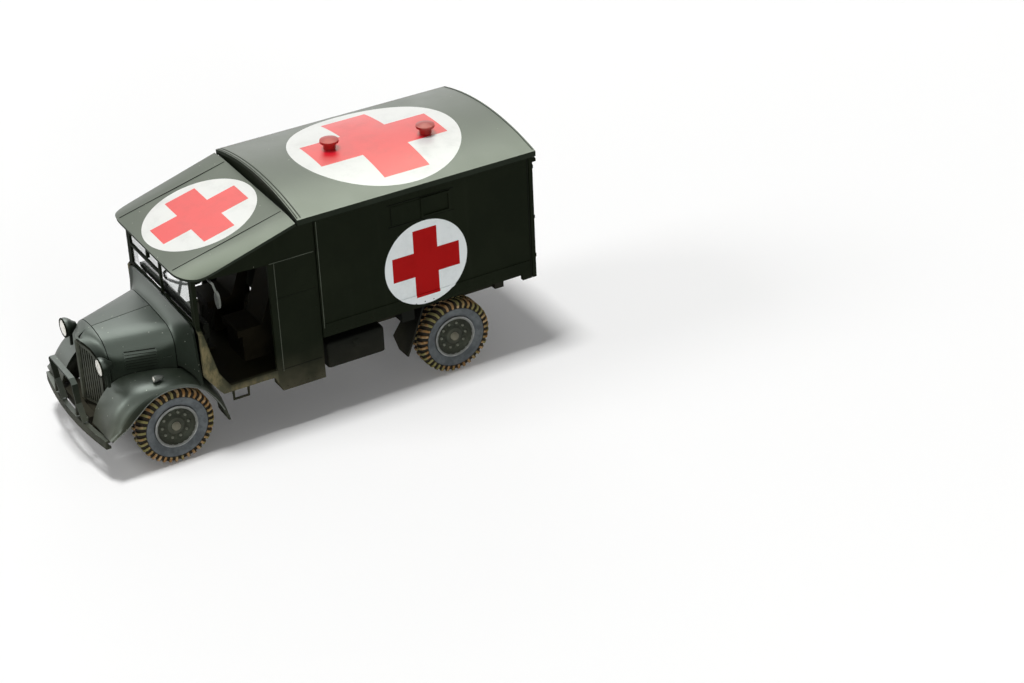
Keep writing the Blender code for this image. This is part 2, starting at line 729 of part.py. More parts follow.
def make_scuttle(datum):
    """The cowl that flares from the bonnet's section out to the cab's width and up to the windscreen."""
    front = BONNET_REAR + SEAT_GAP
    feet = []
    for step in range(SCUTTLE_STEPS + 1):
        half = blend(BONNET_REAR_HALF, SCUTTLE_HALF, (step / SCUTTLE_STEPS) ** FLARE_POWER)
        feet.append(top_of_wing(half, blend(front, SCUTTLE_REAR, step / SCUTTLE_STEPS)) + SHELL)

    def scuttle_point(u, v):
        side = 1 if u > 0.5 else -1
        around = abs(2 * u - 1)
        flare = v ** FLARE_POWER
        half = blend(BONNET_REAR_HALF, SCUTTLE_TOP_HALF, flare)
        crown = blend(BONNET_REAR_CROWN, SCUTTLE_CROWN, flare)
        shoulder = blend(REAR_SHOULDER, SCUTTLE_SHOULDER, flare)
        x, z = section_point(half, crown, shoulder, feet[round(v * SCUTTLE_STEPS)], around)
        below = max(around - SHOULDER_SHARE, 0) / (1 - SHOULDER_SHARE)
        x += (SCUTTLE_HALF - SCUTTLE_TOP_HALF) * flare * below
        return Vector((side * x, blend(front, SCUTTLE_REAR, v), z))
    scuttle = sheet("scuttle", 2 * SECTION_STEPS, SCUTTLE_STEPS, scuttle_point, SHELL)
    finish(scuttle, BODY_PAINT, datum, smooth=True)


# Front wings, lamps, bumper and guard
WING_OUTSIDE = 0.0208
WING_CROWN_X = 0.0165
WING_INNER_X = 0.0129
WING_CREST = 0.0139
WING_INNER_RISE = 0.0002
WING_STEPS = 16
WING_ACROSS = 6
# Stations along the wing: share of the half turn from front to rear, crown and lip as shares of the crest
WING_SHARES = (
    (0.030, 1.190, 1.155),
    (0.105, 1.160, 0.870),
    (0.220, 1.090, 0.785),
    (0.300, 1.020, 0.775),
    (0.390, 0.900, 0.765),
    (0.500, 0.845, 0.760),
    (0.620, 0.865, 0.765),
    (0.730, 0.900, 0.775),
    (0.830, 0.915, 0.785),
    (0.960, 0.940, 0.850),
    (1.055, 0.985, 0.975),
)
LAMP_X = 0.0111
LAMP_FACE = -0.0137
LAMP_HEIGHT = 0.0256
LAMP_RADIUS = 0.0024
LAMP_LENGTH = 0.0034
LAMP_TAIL_RADIUS = 0.0007
LAMP_RIM = 0.0005
LAMP_STALK_RADIUS = 0.0004
LAMP_STALK_LEAN = 0.0007
SIDELIGHT_X = 0.0176
SIDELIGHT_PLACE = -0.0033
SIDELIGHT_RADIUS = 0.0008
SIDELIGHT_LENGTH = 0.0027
BUMPER_HALF = 0.0188
BUMPER_BOW = 0.0017
BUMPER_BOTTOM = 0.0086
BUMPER_TOP = 0.0108
BUMPER_DEPTH = 0.0012
BUMPER_IRON_WIDTH = 0.0012
GUARD_TOP = 0.0222
GUARD_TOP_HALF = 0.0074
GUARD_ELBOW_HALF = 0.0070
GUARD_ELBOW = 0.0150
GUARD_INNER_FOOT = 0.0044
GUARD_OUTER_FOOT = 0.0086
GUARD_BAR = 0.0006
GUARD_DEPTH = 0.0014


def wing_point(across, along):
    """A point on the left wing: across from its inner edge to its lip, along from front to rear."""
    turn = blend(WING_SHARES[0][0], WING_SHARES[-1][0], along)
    crown = WING_CREST * from_table(WING_SHARES, turn, 1)
    lip = WING_CREST * from_table(WING_SHARES, turn, 2)
    angle = math.pi * turn
    if across < 1 / 3:
        share = 1 - 3 * across
        radius = crown + WING_INNER_RISE * share * share
        place = -radius * math.cos(angle)
        x = blend(WING_CROWN_X, wing_inner(place), share)
        return Vector((x, place, TYRE_RADIUS + radius * math.sin(angle)))
    turn_down = math.pi / 2 * (3 * across - 1) / 2
    radius = lip + (crown - lip) * math.cos(turn_down)
    x = WING_CROWN_X + (WING_OUTSIDE - WING_CROWN_X) * math.sin(turn_down)
    return Vector((x, -radius * math.cos(angle), TYRE_RADIUS + radius * math.sin(angle)))


def wing_inner(place):
    """The wing's inner edge follows the side of the bonnet and stays beside the frame behind it."""
    share = (place - BONNET_FRONT) / (BONNET_REAR - BONNET_FRONT)
    side = blend(BONNET_FRONT_HALF, BONNET_REAR_HALF, min(max(share, 0.0), 1.0))
    return side + SEAT_GAP


def make_wings(datum):
    left = sheet("wing_front_left", WING_ACROSS, WING_STEPS, wing_point, SHELL)
    right = mirrored(left, "wing_front_right")
    for wing in (left, right):
        finish(wing, BODY_PAINT, datum, smooth=True)


def make_lamps(datum):
    """Bullet headlamps on stalks and small sidelights on the wings' crowns."""
    body = [(0, LAMP_LENGTH), (LAMP_TAIL_RADIUS, LAMP_LENGTH - LAMP_RIM / 2)]
    for step in range(1, 7):
        share = step / 6
        body.append((blend(LAMP_TAIL_RADIUS, LAMP_RADIUS, math.sin(math.pi / 2 * share)),
                     blend(LAMP_LENGTH - LAMP_RIM, LAMP_RIM, share)))
    body += [(LAMP_RADIUS, 0), (0, 0)]
    lamp = turned("headlamp_left", body, (LAMP_X, LAMP_FACE, LAMP_HEIGHT), (0, 1, 0), LAMP_STEPS)
    foot_place = LAMP_FACE + LAMP_LENGTH / 2
    foot = top_of_wing(LAMP_X + LAMP_STALK_LEAN, foot_place + 2 * LAMP_STALK_RADIUS) + 2 * SEAT_GAP
    stalk = rod("stalk", (LAMP_X + LAMP_STALK_LEAN, foot_place, foot), (LAMP_X, foot_place, LAMP_HEIGHT),
                LAMP_STALK_RADIUS)
    lamp = join(lamp, [stalk])
    light = [(0, SIDELIGHT_LENGTH)]
    light += [(SIDELIGHT_RADIUS * math.sin(math.pi / 2 * step / 4),
               SIDELIGHT_LENGTH - SIDELIGHT_LENGTH * step / 5) for step in range(1, 5)]
    light += [(SIDELIGHT_RADIUS, 0), (0, 0)]
    height = top_of_wing(SIDELIGHT_X - SIDELIGHT_RADIUS, SIDELIGHT_PLACE) + SIDELIGHT_RADIUS
    small = turned("sidelight_left", light, (SIDELIGHT_X, SIDELIGHT_PLACE, height), (0, 1, 0), SMALL_STEPS)
    for left, right in ((lamp, "headlamp_right"), (small, "sidelight_right")):
        twin = mirrored(left, right)
        for item in (left, twin):
            finish(item, BODY_PAINT, datum, smooth=True)


def top_of_wing(x, place):
    """The height of the left wing's outside at a place seen from above."""
    best = None
    for i in range(WING_ACROSS * 4 + 1):
        for j in range(WING_STEPS * 4 + 1):
            point = wing_point(i / (WING_ACROSS * 4), j / (WING_STEPS * 4))
            miss = (point.x - x) ** 2 + (point.y - place) ** 2
            if point.z > TYRE_RADIUS and (best is None or miss < best[0]):
                best = (miss, point.z)
    return best[1]


def make_bumper(datum):
    """A bowed channel with its flanges turned back, carried by the ends of the frame."""
    section = ((BUMPER_DEPTH, BUMPER_BOTTOM), (0, BUMPER_BOTTOM), (0, BUMPER_TOP), (BUMPER_DEPTH, BUMPER_TOP))

    def channel(u, v):
        x = blend(-BUMPER_HALF, BUMPER_HALF, u)
        share = x / BUMPER_HALF
        depth, height = section[round(v * 3)]
        return Vector((x, BUMPER_FRONT + BUMPER_BOW * share * share + depth, height))
    bumper = sheet("front_bumper", 16, 3, channel, SHELL)
    irons = []
    for side in (1, -1):
        share = RAIL_CENTRE / BUMPER_HALF
        start = BUMPER_FRONT + BUMPER_BOW * share * share + SHELL / 2
        x = side * RAIL_CENTRE
        end = RAIL_FRONT - SEAT_GAP
        iron = [(start, BUMPER_BOTTOM + SHELL), (start, BUMPER_TOP - SHELL), (end, RAIL_TOP - RAIL_DROP),
                (end, RAIL_BOTTOM - RAIL_DROP)]
        irons.append(plate("iron", [iron], "side", x - BUMPER_IRON_WIDTH / 2, x + BUMPER_IRON_WIDTH / 2))
    finish(join(bumper, irons), BODY_PAINT, datum)


def make_guard(datum):
    """A hoop of flat strip ahead of the radiator, forked at its elbows to stand on the bumper."""
    bottom = BUMPER_TOP + SEAT_GAP
    corner = 2 * GUARD_BAR
    inside = GUARD_TOP_HALF - GUARD_BAR
    hoop = [
        (-GUARD_ELBOW_HALF, GUARD_ELBOW), (-GUARD_TOP_HALF, GUARD_TOP - corner),
        (-GUARD_TOP_HALF + corner, GUARD_TOP), (GUARD_TOP_HALF - corner, GUARD_TOP),
        (GUARD_TOP_HALF, GUARD_TOP - corner), (GUARD_ELBOW_HALF, GUARD_ELBOW),
        (GUARD_ELBOW_HALF - GUARD_BAR, GUARD_ELBOW), (inside, GUARD_TOP - corner),
        (inside - GUARD_BAR, GUARD_TOP - GUARD_BAR), (GUARD_BAR - inside, GUARD_TOP - GUARD_BAR),
        (-inside, GUARD_TOP - corner), (GUARD_BAR - GUARD_ELBOW_HALF, GUARD_ELBOW),
    ]
    near = BUMPER_FRONT + SEAT_GAP
    guard = plate("radiator_guard", [hoop], "front", near, near + GUARD_DEPTH)
    forks = []
    for side in (1, -1):
        elbow = (side * (GUARD_ELBOW_HALF - GUARD_BAR / 2), GUARD_ELBOW + GUARD_BAR)
        for foot in (GUARD_INNER_FOOT, GUARD_OUTER_FOOT):
            outline = bar(elbow, (side * foot, bottom + GUARD_BAR / 3), GUARD_BAR)
            forks.append(plate("fork", [outline], "front", near + WELD, near + GUARD_DEPTH - WELD))
    guard = join(guard, forks)
    lean = (GUARD_REACH + SEAT_GAP) / (GUARD_TOP - bottom)
    for vert in guard.data.vertices:
        vert.co.y -= (vert.co.z - bottom) * lean
    finish(guard, BODY_PAINT, datum)


# Cab
ROOF_SLOPE = 0.246
CAB_ROOF_REAR = 0.0335
CAB_ROOF_FRONT = 0.0045
CAB_ROOF_REAR_HEIGHT = 0.0543
CAB_EAVE = 0.0009
CAB_ROOF_HALF = CAB_HALF_WIDTH + CAB_EAVE
CAB_ROOF_CORNER = 0.0066
CAB_ROOF_THICKNESS = 0.0009
ROOF_SEAM_X = 0.0156
FRONT_DROOP = 0.0020
REAR_DROOP = 0.0005
CAB_TAPER = 0.0018
SHOULDER_LINE = 0.0316
PILLAR_FRONT = 0.0077
PILLAR_REAR = 0.0087
DOOR_TOP = 0.0448
DOOR_REAR = 0.0260
DOOR_SILL = 0.0167
SILL_BOTTOM = 0.0150
DOOR_WAIST = 0.0332
JAMB_KNEE = 0.0208
JAMB_KNEE_FRONT = 0.0078
JAMB_KNEE_REAR = 0.0114
JAMB_FOOT_FRONT = 0.0120
JAMB_FOOT_REAR = 0.0140
LOCKER_BOTTOM = 0.0108
LOCKER_FRONT = 0.0270
LOCKER_CORNER = 0.0252
LOCKER_DEPTH = 0.0050
LOCKER_TOP = 0.0210
CAB_SIDE_REAR = 0.0382
FLOOR_TOP = 0.0163
FLOOR_THICKNESS = 0.0009
FLOOR_FRONT = 0.0142
TOE_TOP = 0.0215
FIREWALL = 0.0089
FIREWALL_TOP = 0.0312
SCREEN_BOTTOM = 0.0330
SCREEN_TOP = 0.0453
SCREEN_BAR = 0.0007
SCREEN_MID = 0.0386
SCREEN_DEPTH = 0.0006
WIPER_X = -0.0061
WIPER_BOTTOM = 0.0402
WIPER_WIDTH = 0.0005
DASH_BOTTOM = 0.0290
DASH_TOP = 0.0328
DASH_DEPTH = 0.0014
SEAT_HALF = 0.0045
SEAT_X = 0.0085
SEAT_FRONT = 0.0203
SEAT_CUSHION = 0.0250
SEAT_BACK_FOOT = 0.0285
SEAT_BACK_REAR = 0.0328
SEAT_BACK_TOP = 0.0370
SEAT_BACK_THICKNESS = 0.0018
SEAT_BOX_INSET = 0.0012
STEERING_RADIUS = 0.0044
STEERING_RIM = 0.00035
SPOKE_RADIUS = 0.00028
SPOKE_COUNT = 3
STEERING_STEPS = 18
STEERING_CENTRE = (-0.0085, 0.0165, 0.0312)
COLUMN_FOOT = (-0.0085, 0.0128, 0.0192)
COLUMN_RADIUS = 0.0004
LEVER_RADIUS = 0.0003
LEVER_PLATE = 0.0005
LEVER_TOP = 0.0262
LEVER_PLACE = 0.0150
LEVER_SPREAD = 0.0016
STEP_FRONT = 0.0146
STEP_BACK = 0.0184
STEP_DROP = 0.0023
STEP_WIRE = 0.00035
MIRROR_RADIUS = 0.0013
MIRROR_HALF_HEIGHT = 0.0022
MIRROR_THICKNESS = 0.0005
MIRROR_REACH = 0.0016
MIRROR_PLACE = 0.0124
MIRROR_HEIGHT = 0.0408
MIRROR_ARM = 0.0003
MIRROR_ARM_PLACE = 0.0116


def cab_roof_height(x, place):
    """The top of the cab roof: a plane that slopes down forwards, with drooping side strips."""
    plane = CAB_ROOF_REAR_HEIGHT + ROOF_SLOPE * (place - CAB_ROOF_REAR)
    over = max(abs(x) - ROOF_SEAM_X, 0) / (CAB_ROOF_HALF - ROOF_SEAM_X)
    droop = blend(FRONT_DROOP, REAR_DROOP, (place - CAB_ROOF_FRONT) / (CAB_ROOF_REAR - CAB_ROOF_FRONT))
    return plane - droop * over * over


def make_cab_roof(datum):
    def roof_point(u, v):
        x = CAB_ROOF_HALF * math.sin(math.pi / 2 * (2 * u - 1))
        over = max(abs(x) - (CAB_ROOF_HALF - CAB_ROOF_CORNER), 0)
        front = CAB_ROOF_FRONT + CAB_ROOF_CORNER - math.sqrt(max(CAB_ROOF_CORNER ** 2 - over ** 2, 0))
        place = blend(front, CAB_ROOF_REAR, v)
        return Vector((x, place, cab_roof_height(x, place)))
    roof = sheet("cab_roof", 20, 4, roof_point, CAB_ROOF_THICKNESS)
    finish(roof, BODY_PAINT, datum, smooth=True)


def cab_inset(place, height):
    """How far the cab's side stands in towards the windscreen: nothing below the waist or behind the door."""
    rise = min(max((height - SHOULDER_LINE) / (DOOR_WAIST - SHOULDER_LINE), 0.0), 1.0)
    ahead = min(max((DOOR_REAR - place) / (DOOR_REAR - PILLAR_FRONT), 0.0), 1.0)
    return CAB_TAPER * rise * ahead


def make_cab_sides(datum):
    """Each side is one panel round the doorway, with the locker behind and the cheek above."""
    near = CAB_HALF_WIDTH - WALL
    clear = CAB_ROOF_THICKNESS + SEAT_GAP * 2

    def under_roof(place):
        return cab_roof_height(CAB_HALF_WIDTH - cab_inset(place, DOOR_TOP), place) - clear
    outer = [
        (PILLAR_FRONT, under_roof(PILLAR_FRONT)), (PILLAR_FRONT, DOOR_WAIST), (PILLAR_FRONT, SHOULDER_LINE),
        (JAMB_KNEE_FRONT, JAMB_KNEE), (JAMB_FOOT_FRONT, SILL_BOTTOM), (LOCKER_CORNER, SILL_BOTTOM),
        (LOCKER_FRONT, LOCKER_BOTTOM), (CAB_SIDE_REAR, LOCKER_BOTTOM), (CAB_SIDE_REAR, side_top()),
        (BODY_FRONT + SEAT_GAP, side_top()), (BODY_FRONT + SEAT_GAP, under_roof(CAB_ROOF_REAR)),
        (CAB_ROOF_REAR - SEAT_GAP, under_roof(CAB_ROOF_REAR - SEAT_GAP)),
    ]
    door = [
        (PILLAR_REAR, DOOR_WAIST), (PILLAR_REAR, SHOULDER_LINE), (JAMB_KNEE_REAR, JAMB_KNEE),
        (JAMB_FOOT_REAR, DOOR_SILL), (DOOR_REAR, DOOR_SILL), (DOOR_REAR, DOOR_TOP), (PILLAR_REAR, DOOR_TOP),
    ]
    left = plate("cab_side_left", [outer, door], "side", near, CAB_HALF_WIDTH)
    bm = bmesh.new()
    bm.from_mesh(left.data)
    bmesh.ops.triangulate(bm, faces=bm.faces)
    for vert in bm.verts:
        vert.co.x -= cab_inset(vert.co.y, vert.co.z)
    bm.to_mesh(left.data)
    bm.free()
    locker = block("locker", (CAB_HALF_WIDTH - LOCKER_DEPTH, LOCKER_FRONT, LOCKER_BOTTOM),
                   (near + WALL / 2, CAB_SIDE_REAR, SILL_BOTTOM - SEAT_GAP))
    left = join(left, [locker])
    right = mirrored(left, "cab_side_right")
    for side in (left, right):
        finish(side, BODY_PAINT, datum)


def make_cab_floor(datum):
    """The floor, the sloping toe board and the firewall, bent from one sheet."""
    half = CAB_HALF_WIDTH - WALL - SEAT_GAP
    t = FLOOR_THICKNESS
    rear = BODY_FRONT - SEAT_GAP
    outline = [
        (rear, FLOOR_TOP - t), (rear, FLOOR_TOP), (FLOOR_FRONT, FLOOR_TOP), (FIREWALL + t, TOE_TOP),
        (FIREWALL + t, FIREWALL_TOP), (FIREWALL, FIREWALL_TOP), (FIREWALL, TOE_TOP),
        (FLOOR_FRONT - t / 2, FLOOR_TOP - t),
    ]
    finish(plate("cab_floor", [outline], "side", -half, half), CHASSIS_PAINT, datum)


def make_windscreen(datum):
    """The frame with its centre post and the driver's mid bar, and one sheet of glass behind it."""
    half = CAB_HALF_WIDTH - CAB_TAPER - WALL - SEAT_GAP
    low, high = SCREEN_BOTTOM + SCREEN_BAR, SCREEN_TOP - SCREEN_BAR
    side = half - SCREEN_BAR
    post = SCREEN_BAR / 2
    holes = [
        rectangle((post, low), (side, high)),
        rectangle((-side, low), (-post, SCREEN_MID - post)),
        rectangle((-side, SCREEN_MID + post), (-post, high)),
    ]
    near = PILLAR_FRONT
    frame = plate("windscreen_frame", [rectangle((-half, SCREEN_BOTTOM), (half, SCREEN_TOP))] + holes,
                  "front", near, near + SCREEN_DEPTH)
    wiper = block("wiper", (WIPER_X - WIPER_WIDTH / 2, near - WIPER_WIDTH, WIPER_BOTTOM),
                  (WIPER_X + WIPER_WIDTH / 2, near + SCREEN_DEPTH / 2, high + SCREEN_BAR / 2))
    finish(join(frame, [wiper]), BODY_PAINT, datum)
    lap = SCREEN_BAR / 2
    back = near + SCREEN_DEPTH + SEAT_GAP
    glass = block("windscreen_glass", (-side - lap, back, low - lap), (side + lap, back + GLASS, high + lap))
    finish(glass, GLAZING, datum)


def make_dashboard(datum):
    near = FIREWALL + FLOOR_THICKNESS + SEAT_GAP
    half = CAB_HALF_WIDTH - CAB_TAPER - WALL - SEAT_GAP
    dash = block("dashboard", (-half, near, DASH_BOTTOM), (half, near + DASH_DEPTH, DASH_TOP))
    finish(dash, CHASSIS_PAINT, datum)


def make_seats(datum):
    """A boxed base, a cushion and a raked back in one side profile."""
    lean = SEAT_BACK_REAR - SEAT_BACK_THICKNESS
    floor = FLOOR_TOP + SEAT_GAP
    outline = [
        (SEAT_FRONT + SEAT_BOX_INSET, floor), (SEAT_BACK_FOOT, floor), (SEAT_BACK_REAR, SEAT_BACK_TOP),
        (lean, SEAT_BACK_TOP), (SEAT_BACK_FOOT - SEAT_BACK_THICKNESS, SEAT_CUSHION),
        (SEAT_FRONT, SEAT_CUSHION), (SEAT_FRONT, SEAT_CUSHION - SEAT_BACK_THICKNESS),
        (SEAT_FRONT + SEAT_BOX_INSET, SEAT_CUSHION - SEAT_BACK_THICKNESS),
    ]
    for name, x in (("seat_passenger", SEAT_X), ("seat_driver", -SEAT_X)):
        finish(plate(name, [outline], "side", x - SEAT_HALF, x + SEAT_HALF), SEAT_PAINT, datum)


def make_steering(datum):
    """The wheel's rim and three spokes on a raked column, for a driver on the right."""
    centre, foot = Vector(STEERING_CENTRE), Vector(COLUMN_FOOT)
    axis = (centre - foot).normalized()
    turn = axis.to_track_quat("Z", "Y").to_matrix()

    def on_rim(share):
        angle = math.tau * share
        return centre + turn @ Vector((math.cos(angle), math.sin(angle), 0)) * STEERING_RADIUS
    rim = [on_rim(step / STEERING_STEPS) for step in range(STEERING_STEPS)]
    wheel = tube("steering_wheel", rim, STEERING_RIM, cyclic=True)
    rods = [rod("column", foot, centre + axis * COLUMN_RADIUS, COLUMN_RADIUS, steps=WIRE_STEPS)]
    for spoke in range(SPOKE_COUNT):
        tip = on_rim((spoke + 1 / 4) / SPOKE_COUNT)
        rods.append(rod("spoke", centre, tip, SPOKE_RADIUS, steps=WIRE_STEPS))
    finish(join(wheel, rods), CHASSIS_PAINT, datum, smooth=True)


def make_levers(datum):
    """The gear lever and the hand brake on one floor plate."""
    base = FLOOR_TOP + SEAT_GAP
    plate_piece = block("floor_levers", (-2 * LEVER_SPREAD, LEVER_PLACE, base),
                        (2 * LEVER_SPREAD, LEVER_PLACE + 2 * LEVER_SPREAD, base + LEVER_PLATE))
    rods = []
    for x, lean in ((LEVER_SPREAD, 2 * LEVER_SPREAD), (-LEVER_SPREAD, LEVER_SPREAD)):
        foot = (x, LEVER_PLACE + LEVER_SPREAD, base + LEVER_PLATE / 2)
        knob = (x, LEVER_PLACE + LEVER_SPREAD + lean, LEVER_TOP)
        rods.append(rod("lever", foot, knob, LEVER_RADIUS, steps=WIRE_STEPS))
    finish(join(plate_piece, rods), CHASSIS_PAINT, datum)


def make_steps(datum):
    """A wire stirrup under each doorway's sill."""
    x = CAB_HALF_WIDTH - WALL / 2
    top = SILL_BOTTOM - SEAT_GAP
    low = top - STEP_DROP
    points = [(x, STEP_FRONT, top), (x, STEP_FRONT, low), (x, STEP_BACK, low), (x, STEP_BACK, top)]
    left = tube("step_left", points, STEP_WIRE)
    right = mirrored(left, "step_right")
    for step in (left, right):
        finish(step, BODY_PAINT, datum, smooth=True)


def make_mirrors(datum):
    """An upright oval mirror on a bent arm from over each doorway."""
    centre = Vector((CAB_HALF_WIDTH + MIRROR_REACH, MIRROR_PLACE, MIRROR_HEIGHT))
    stretch = MIRROR_HALF_HEIGHT / MIRROR_RADIUS
    circle = arc((0, 0), MIRROR_RADIUS, 0, 360, LAMP_STEPS)[:-1]
    outline = [(centre.x + x, centre.z + z * stretch) for x, z in circle]
    near = centre.y - MIRROR_THICKNESS / 2
    head = plate("mirror_left", [outline], "front", near, near + MIRROR_THICKNESS)
    root = CAB_HALF_WIDTH - cab_inset(MIRROR_ARM_PLACE, DOOR_TOP) + SEAT_GAP
    start = (root, MIRROR_ARM_PLACE, DOOR_TOP + MIRROR_ARM)
    bend = (centre.x, MIRROR_ARM_PLACE, DOOR_TOP + MIRROR_ARM)
    arm = tube("arm", [start, bend, (centre.x, centre.y, centre.z + MIRROR_HALF_HEIGHT / 2)], MIRROR_ARM)
    left = join(head, [arm])
    right = mirrored(left, "mirror_right")
    for mirror in (left, right):
        finish(mirror, BODY_PAINT, datum, smooth=True)


# Box body
ROOF_GUTTER = 0.00075
ROOF_HALF_WIDTH = BODY_HALF_WIDTH + ROOF_GUTTER
ROOF_LIP = 0.0014
ROOF_THICKNESS = 0.0009
ROOF_OVERHANG = 0.0006
ROOF_ARC_STEPS = 16
BODY_SIDE_FRONT = 0.0384
SKIRT_FRONT = 0.0927
SKIRT_BOTTOM = 0.0202
BEAD_HEIGHT = 0.0246
BEAD_WIDTH = 0.0006
BEAD_DEPTH = 0.0002
HATCH_BOTTOM = 0.0454
HATCH_TOP = 0.0506
HATCH_FRONT = 0.0581
HATCH_REAR = 0.0738
HATCH_DEPTH = 0.0004
HATCH_FRAME = 0.0005
CATCH_SIZE = 0.0008
HINGE_HEIGHTS = (0.0260, 0.0365, 0.0500)
HINGE_LENGTH = 0.0048
HINGE_WIDTH = 0.0009
HINGE_DEPTH = 0.0003
DOOR_HANDLE_HEIGHT = 0.0345
DOOR_HANDLE_LENGTH = 0.0036
TAIL_LAMP_HEIGHT = 0.0506
TAIL_LAMP_RADIUS = 0.0006
DOOR_GAP = 0.0002
REAR_WINDOW_BOTTOM = 0.0400
REAR_WINDOW_TOP = 0.0480
REAR_WINDOW_INNER = 0.0060
REAR_WINDOW_OUTER = 0.0150
BODY_FLOOR_THICKNESS = 0.0010
BEARER_WIDTH = 0.0014
BEARER_SHARES = (0.04, 0.34, 0.66, 0.96)
REAR_STEP_HALF = 0.0140
REAR_STEP_FRONT = 0.0915
REAR_STEP_TOP = 0.0200
REAR_STEP_THICKNESS = 0.0009
VENT_RADIUS = 0.0023
VENT_NECK_RADIUS = 0.0015
VENT_HEIGHT = 0.0028
VENT_CAP = 0.0012
VENT_FRONT_PLACE = 0.0544
VENT_REAR_PLACE = 0.0773
VENT_FRONT_X = -0.0012
VENT_REAR_X = 0.0045
FLAP_CLEARANCE = 0.0026
FLAP_THICKNESS = 0.0005
FLAP_LEAN = math.radians(22.0)
FLAP_BOTTOM = 0.0086
FLAP_CORNER = 0.0016
FLAP_INNER_BOTTOM = 0.0120
FLAP_INNER_TOP = 0.0155
FLAP_STEPS = 3
TANK_TO_CAB = 0.0016
TANK_TO_FLAP = 0.0052
TANK_FRONT = CAB_SIDE_REAR + TANK_TO_CAB
TANK_BOTTOM = 0.0115
TANK_TOP = 0.0185
TANK_OUTSIDE = 0.0198
TANK_INSIDE = 0.0118
TANK_EDGE = 0.0008
TANK_STRAP = 0.0010
CAP_RADIUS = 0.0010
CAP_LENGTH = 0.0006
STOWAGE_AHEAD = 0.0110
STOWAGE_LENGTH = 0.0034
STOWAGE_SET_IN = 0.00095
STOWAGE_WIDTH = 0.0043
STOWAGE_OUTSIDE = BODY_HALF_WIDTH - STOWAGE_SET_IN
STOWAGE_INSIDE = STOWAGE_OUTSIDE - STOWAGE_WIDTH
STOWAGE_BOTTOM = 0.0184


def roof_arc(half, edge, crown, steps=ROOF_ARC_STEPS):
    """Points on the arch of the roof from the right edge over the crown to the left."""
    rise = crown - edge
    radius = (half * half + rise * rise) / (2 * rise)
    spread = math.asin(half / radius)
    points = []
    for step in range(steps + 1):
        angle = blend(-spread, spread, step / steps)
        points.append((radius * math.sin(angle), crown - radius + radius * math.cos(angle)))
    return points


def roof_under(x):
    """The height of the roof's underside at a distance from the centre."""
    radius = (ROOF_HALF_WIDTH ** 2 + ROOF_RISE ** 2) / (2 * ROOF_RISE)
    return ROOF_CROWN_HEIGHT - radius + math.sqrt(radius ** 2 - x ** 2) - ROOF_THICKNESS


def side_top():
    return roof_under(BODY_HALF_WIDTH) - SEAT_GAP


def make_body_roof(datum):
    """An arched roof whose edges turn down over the sides as gutters."""
    outer = roof_arc(ROOF_HALF_WIDTH, ROOF_EDGE_HEIGHT, ROOF_CROWN_HEIGHT)
    inner_half = BODY_HALF_WIDTH + SEAT_GAP
    inner = []
    for step in range(ROOF_ARC_STEPS + 1):
        x = blend(inner_half, -inner_half, step / ROOF_ARC_STEPS)
        inner.append((x, roof_under(x)))
    lip = ROOF_EDGE_HEIGHT - ROOF_LIP
    outline = outer + [(ROOF_HALF_WIDTH, lip), (inner_half, lip)] + inner
    outline += [(-inner_half, lip), (-ROOF_HALF_WIDTH, lip)]
    roof = plate("body_roof", [outline], "front", BODY_FRONT, BODY_REAR + ROOF_OVERHANG)
    finish(roof, BODY_PAINT, datum, smooth=True)


def make_body_sides(datum):
    """Flat side panels with a low bead, a framed sliding hatch and a deeper skirt at the rear."""
    near = BODY_HALF_WIDTH - WALL
    rear = BODY_REAR - WALL - SEAT_GAP
    outline = [
        (BODY_SIDE_FRONT, BODY_BOTTOM), (SKIRT_FRONT, BODY_BOTTOM), (SKIRT_FRONT, SKIRT_BOTTOM),
        (rear, SKIRT_BOTTOM), (rear, side_top()), (BODY_SIDE_FRONT, side_top()),
    ]
    left = plate("body_side_left", [outline], "side", near, BODY_HALF_WIDTH)
    inside = BODY_HALF_WIDTH - WALL / 2
    bead = block("bead", (inside, BODY_SIDE_FRONT + BEAD_WIDTH, BEAD_HEIGHT),
                 (BODY_HALF_WIDTH + BEAD_DEPTH, rear - BEAD_WIDTH, BEAD_HEIGHT + BEAD_WIDTH))
    middle = (HATCH_FRONT + HATCH_REAR) / 2
    outside = BODY_HALF_WIDTH + HATCH_DEPTH
    border = rectangle((middle, HATCH_BOTTOM), (HATCH_REAR, HATCH_TOP))
    opening = rectangle((middle + HATCH_FRAME, HATCH_BOTTOM + HATCH_FRAME),
                        (HATCH_REAR - HATCH_FRAME, HATCH_TOP - HATCH_FRAME))
    frame = plate("hatch_frame", [border, opening], "side", inside, outside)
    pane = block("hatch_pane", (inside, HATCH_FRONT, HATCH_BOTTOM + HATCH_FRAME / 2),
                 (BODY_HALF_WIDTH + BEAD_DEPTH / 2, middle + HATCH_FRAME / 2, HATCH_TOP - HATCH_FRAME / 2))
    left = join(left, [bead, frame, pane])
    right = mirrored(left, "body_side_right")
    for side in (left, right):
        finish(side, BODY_PAINT, datum)


def arched_wall(name, low_x, high_x, bottom, near, far, holes=()):
    """An upright wall whose top follows the underside of the roof."""
    top = []
    for step in range(ROOF_ARC_STEPS + 1):
        x = blend(high_x, low_x, step / ROOF_ARC_STEPS)
        top.append((x, roof_under(x) - SEAT_GAP))
    return plate(name, [[(low_x, bottom), (high_x, bottom)] + top, *holes], "front", near, far)


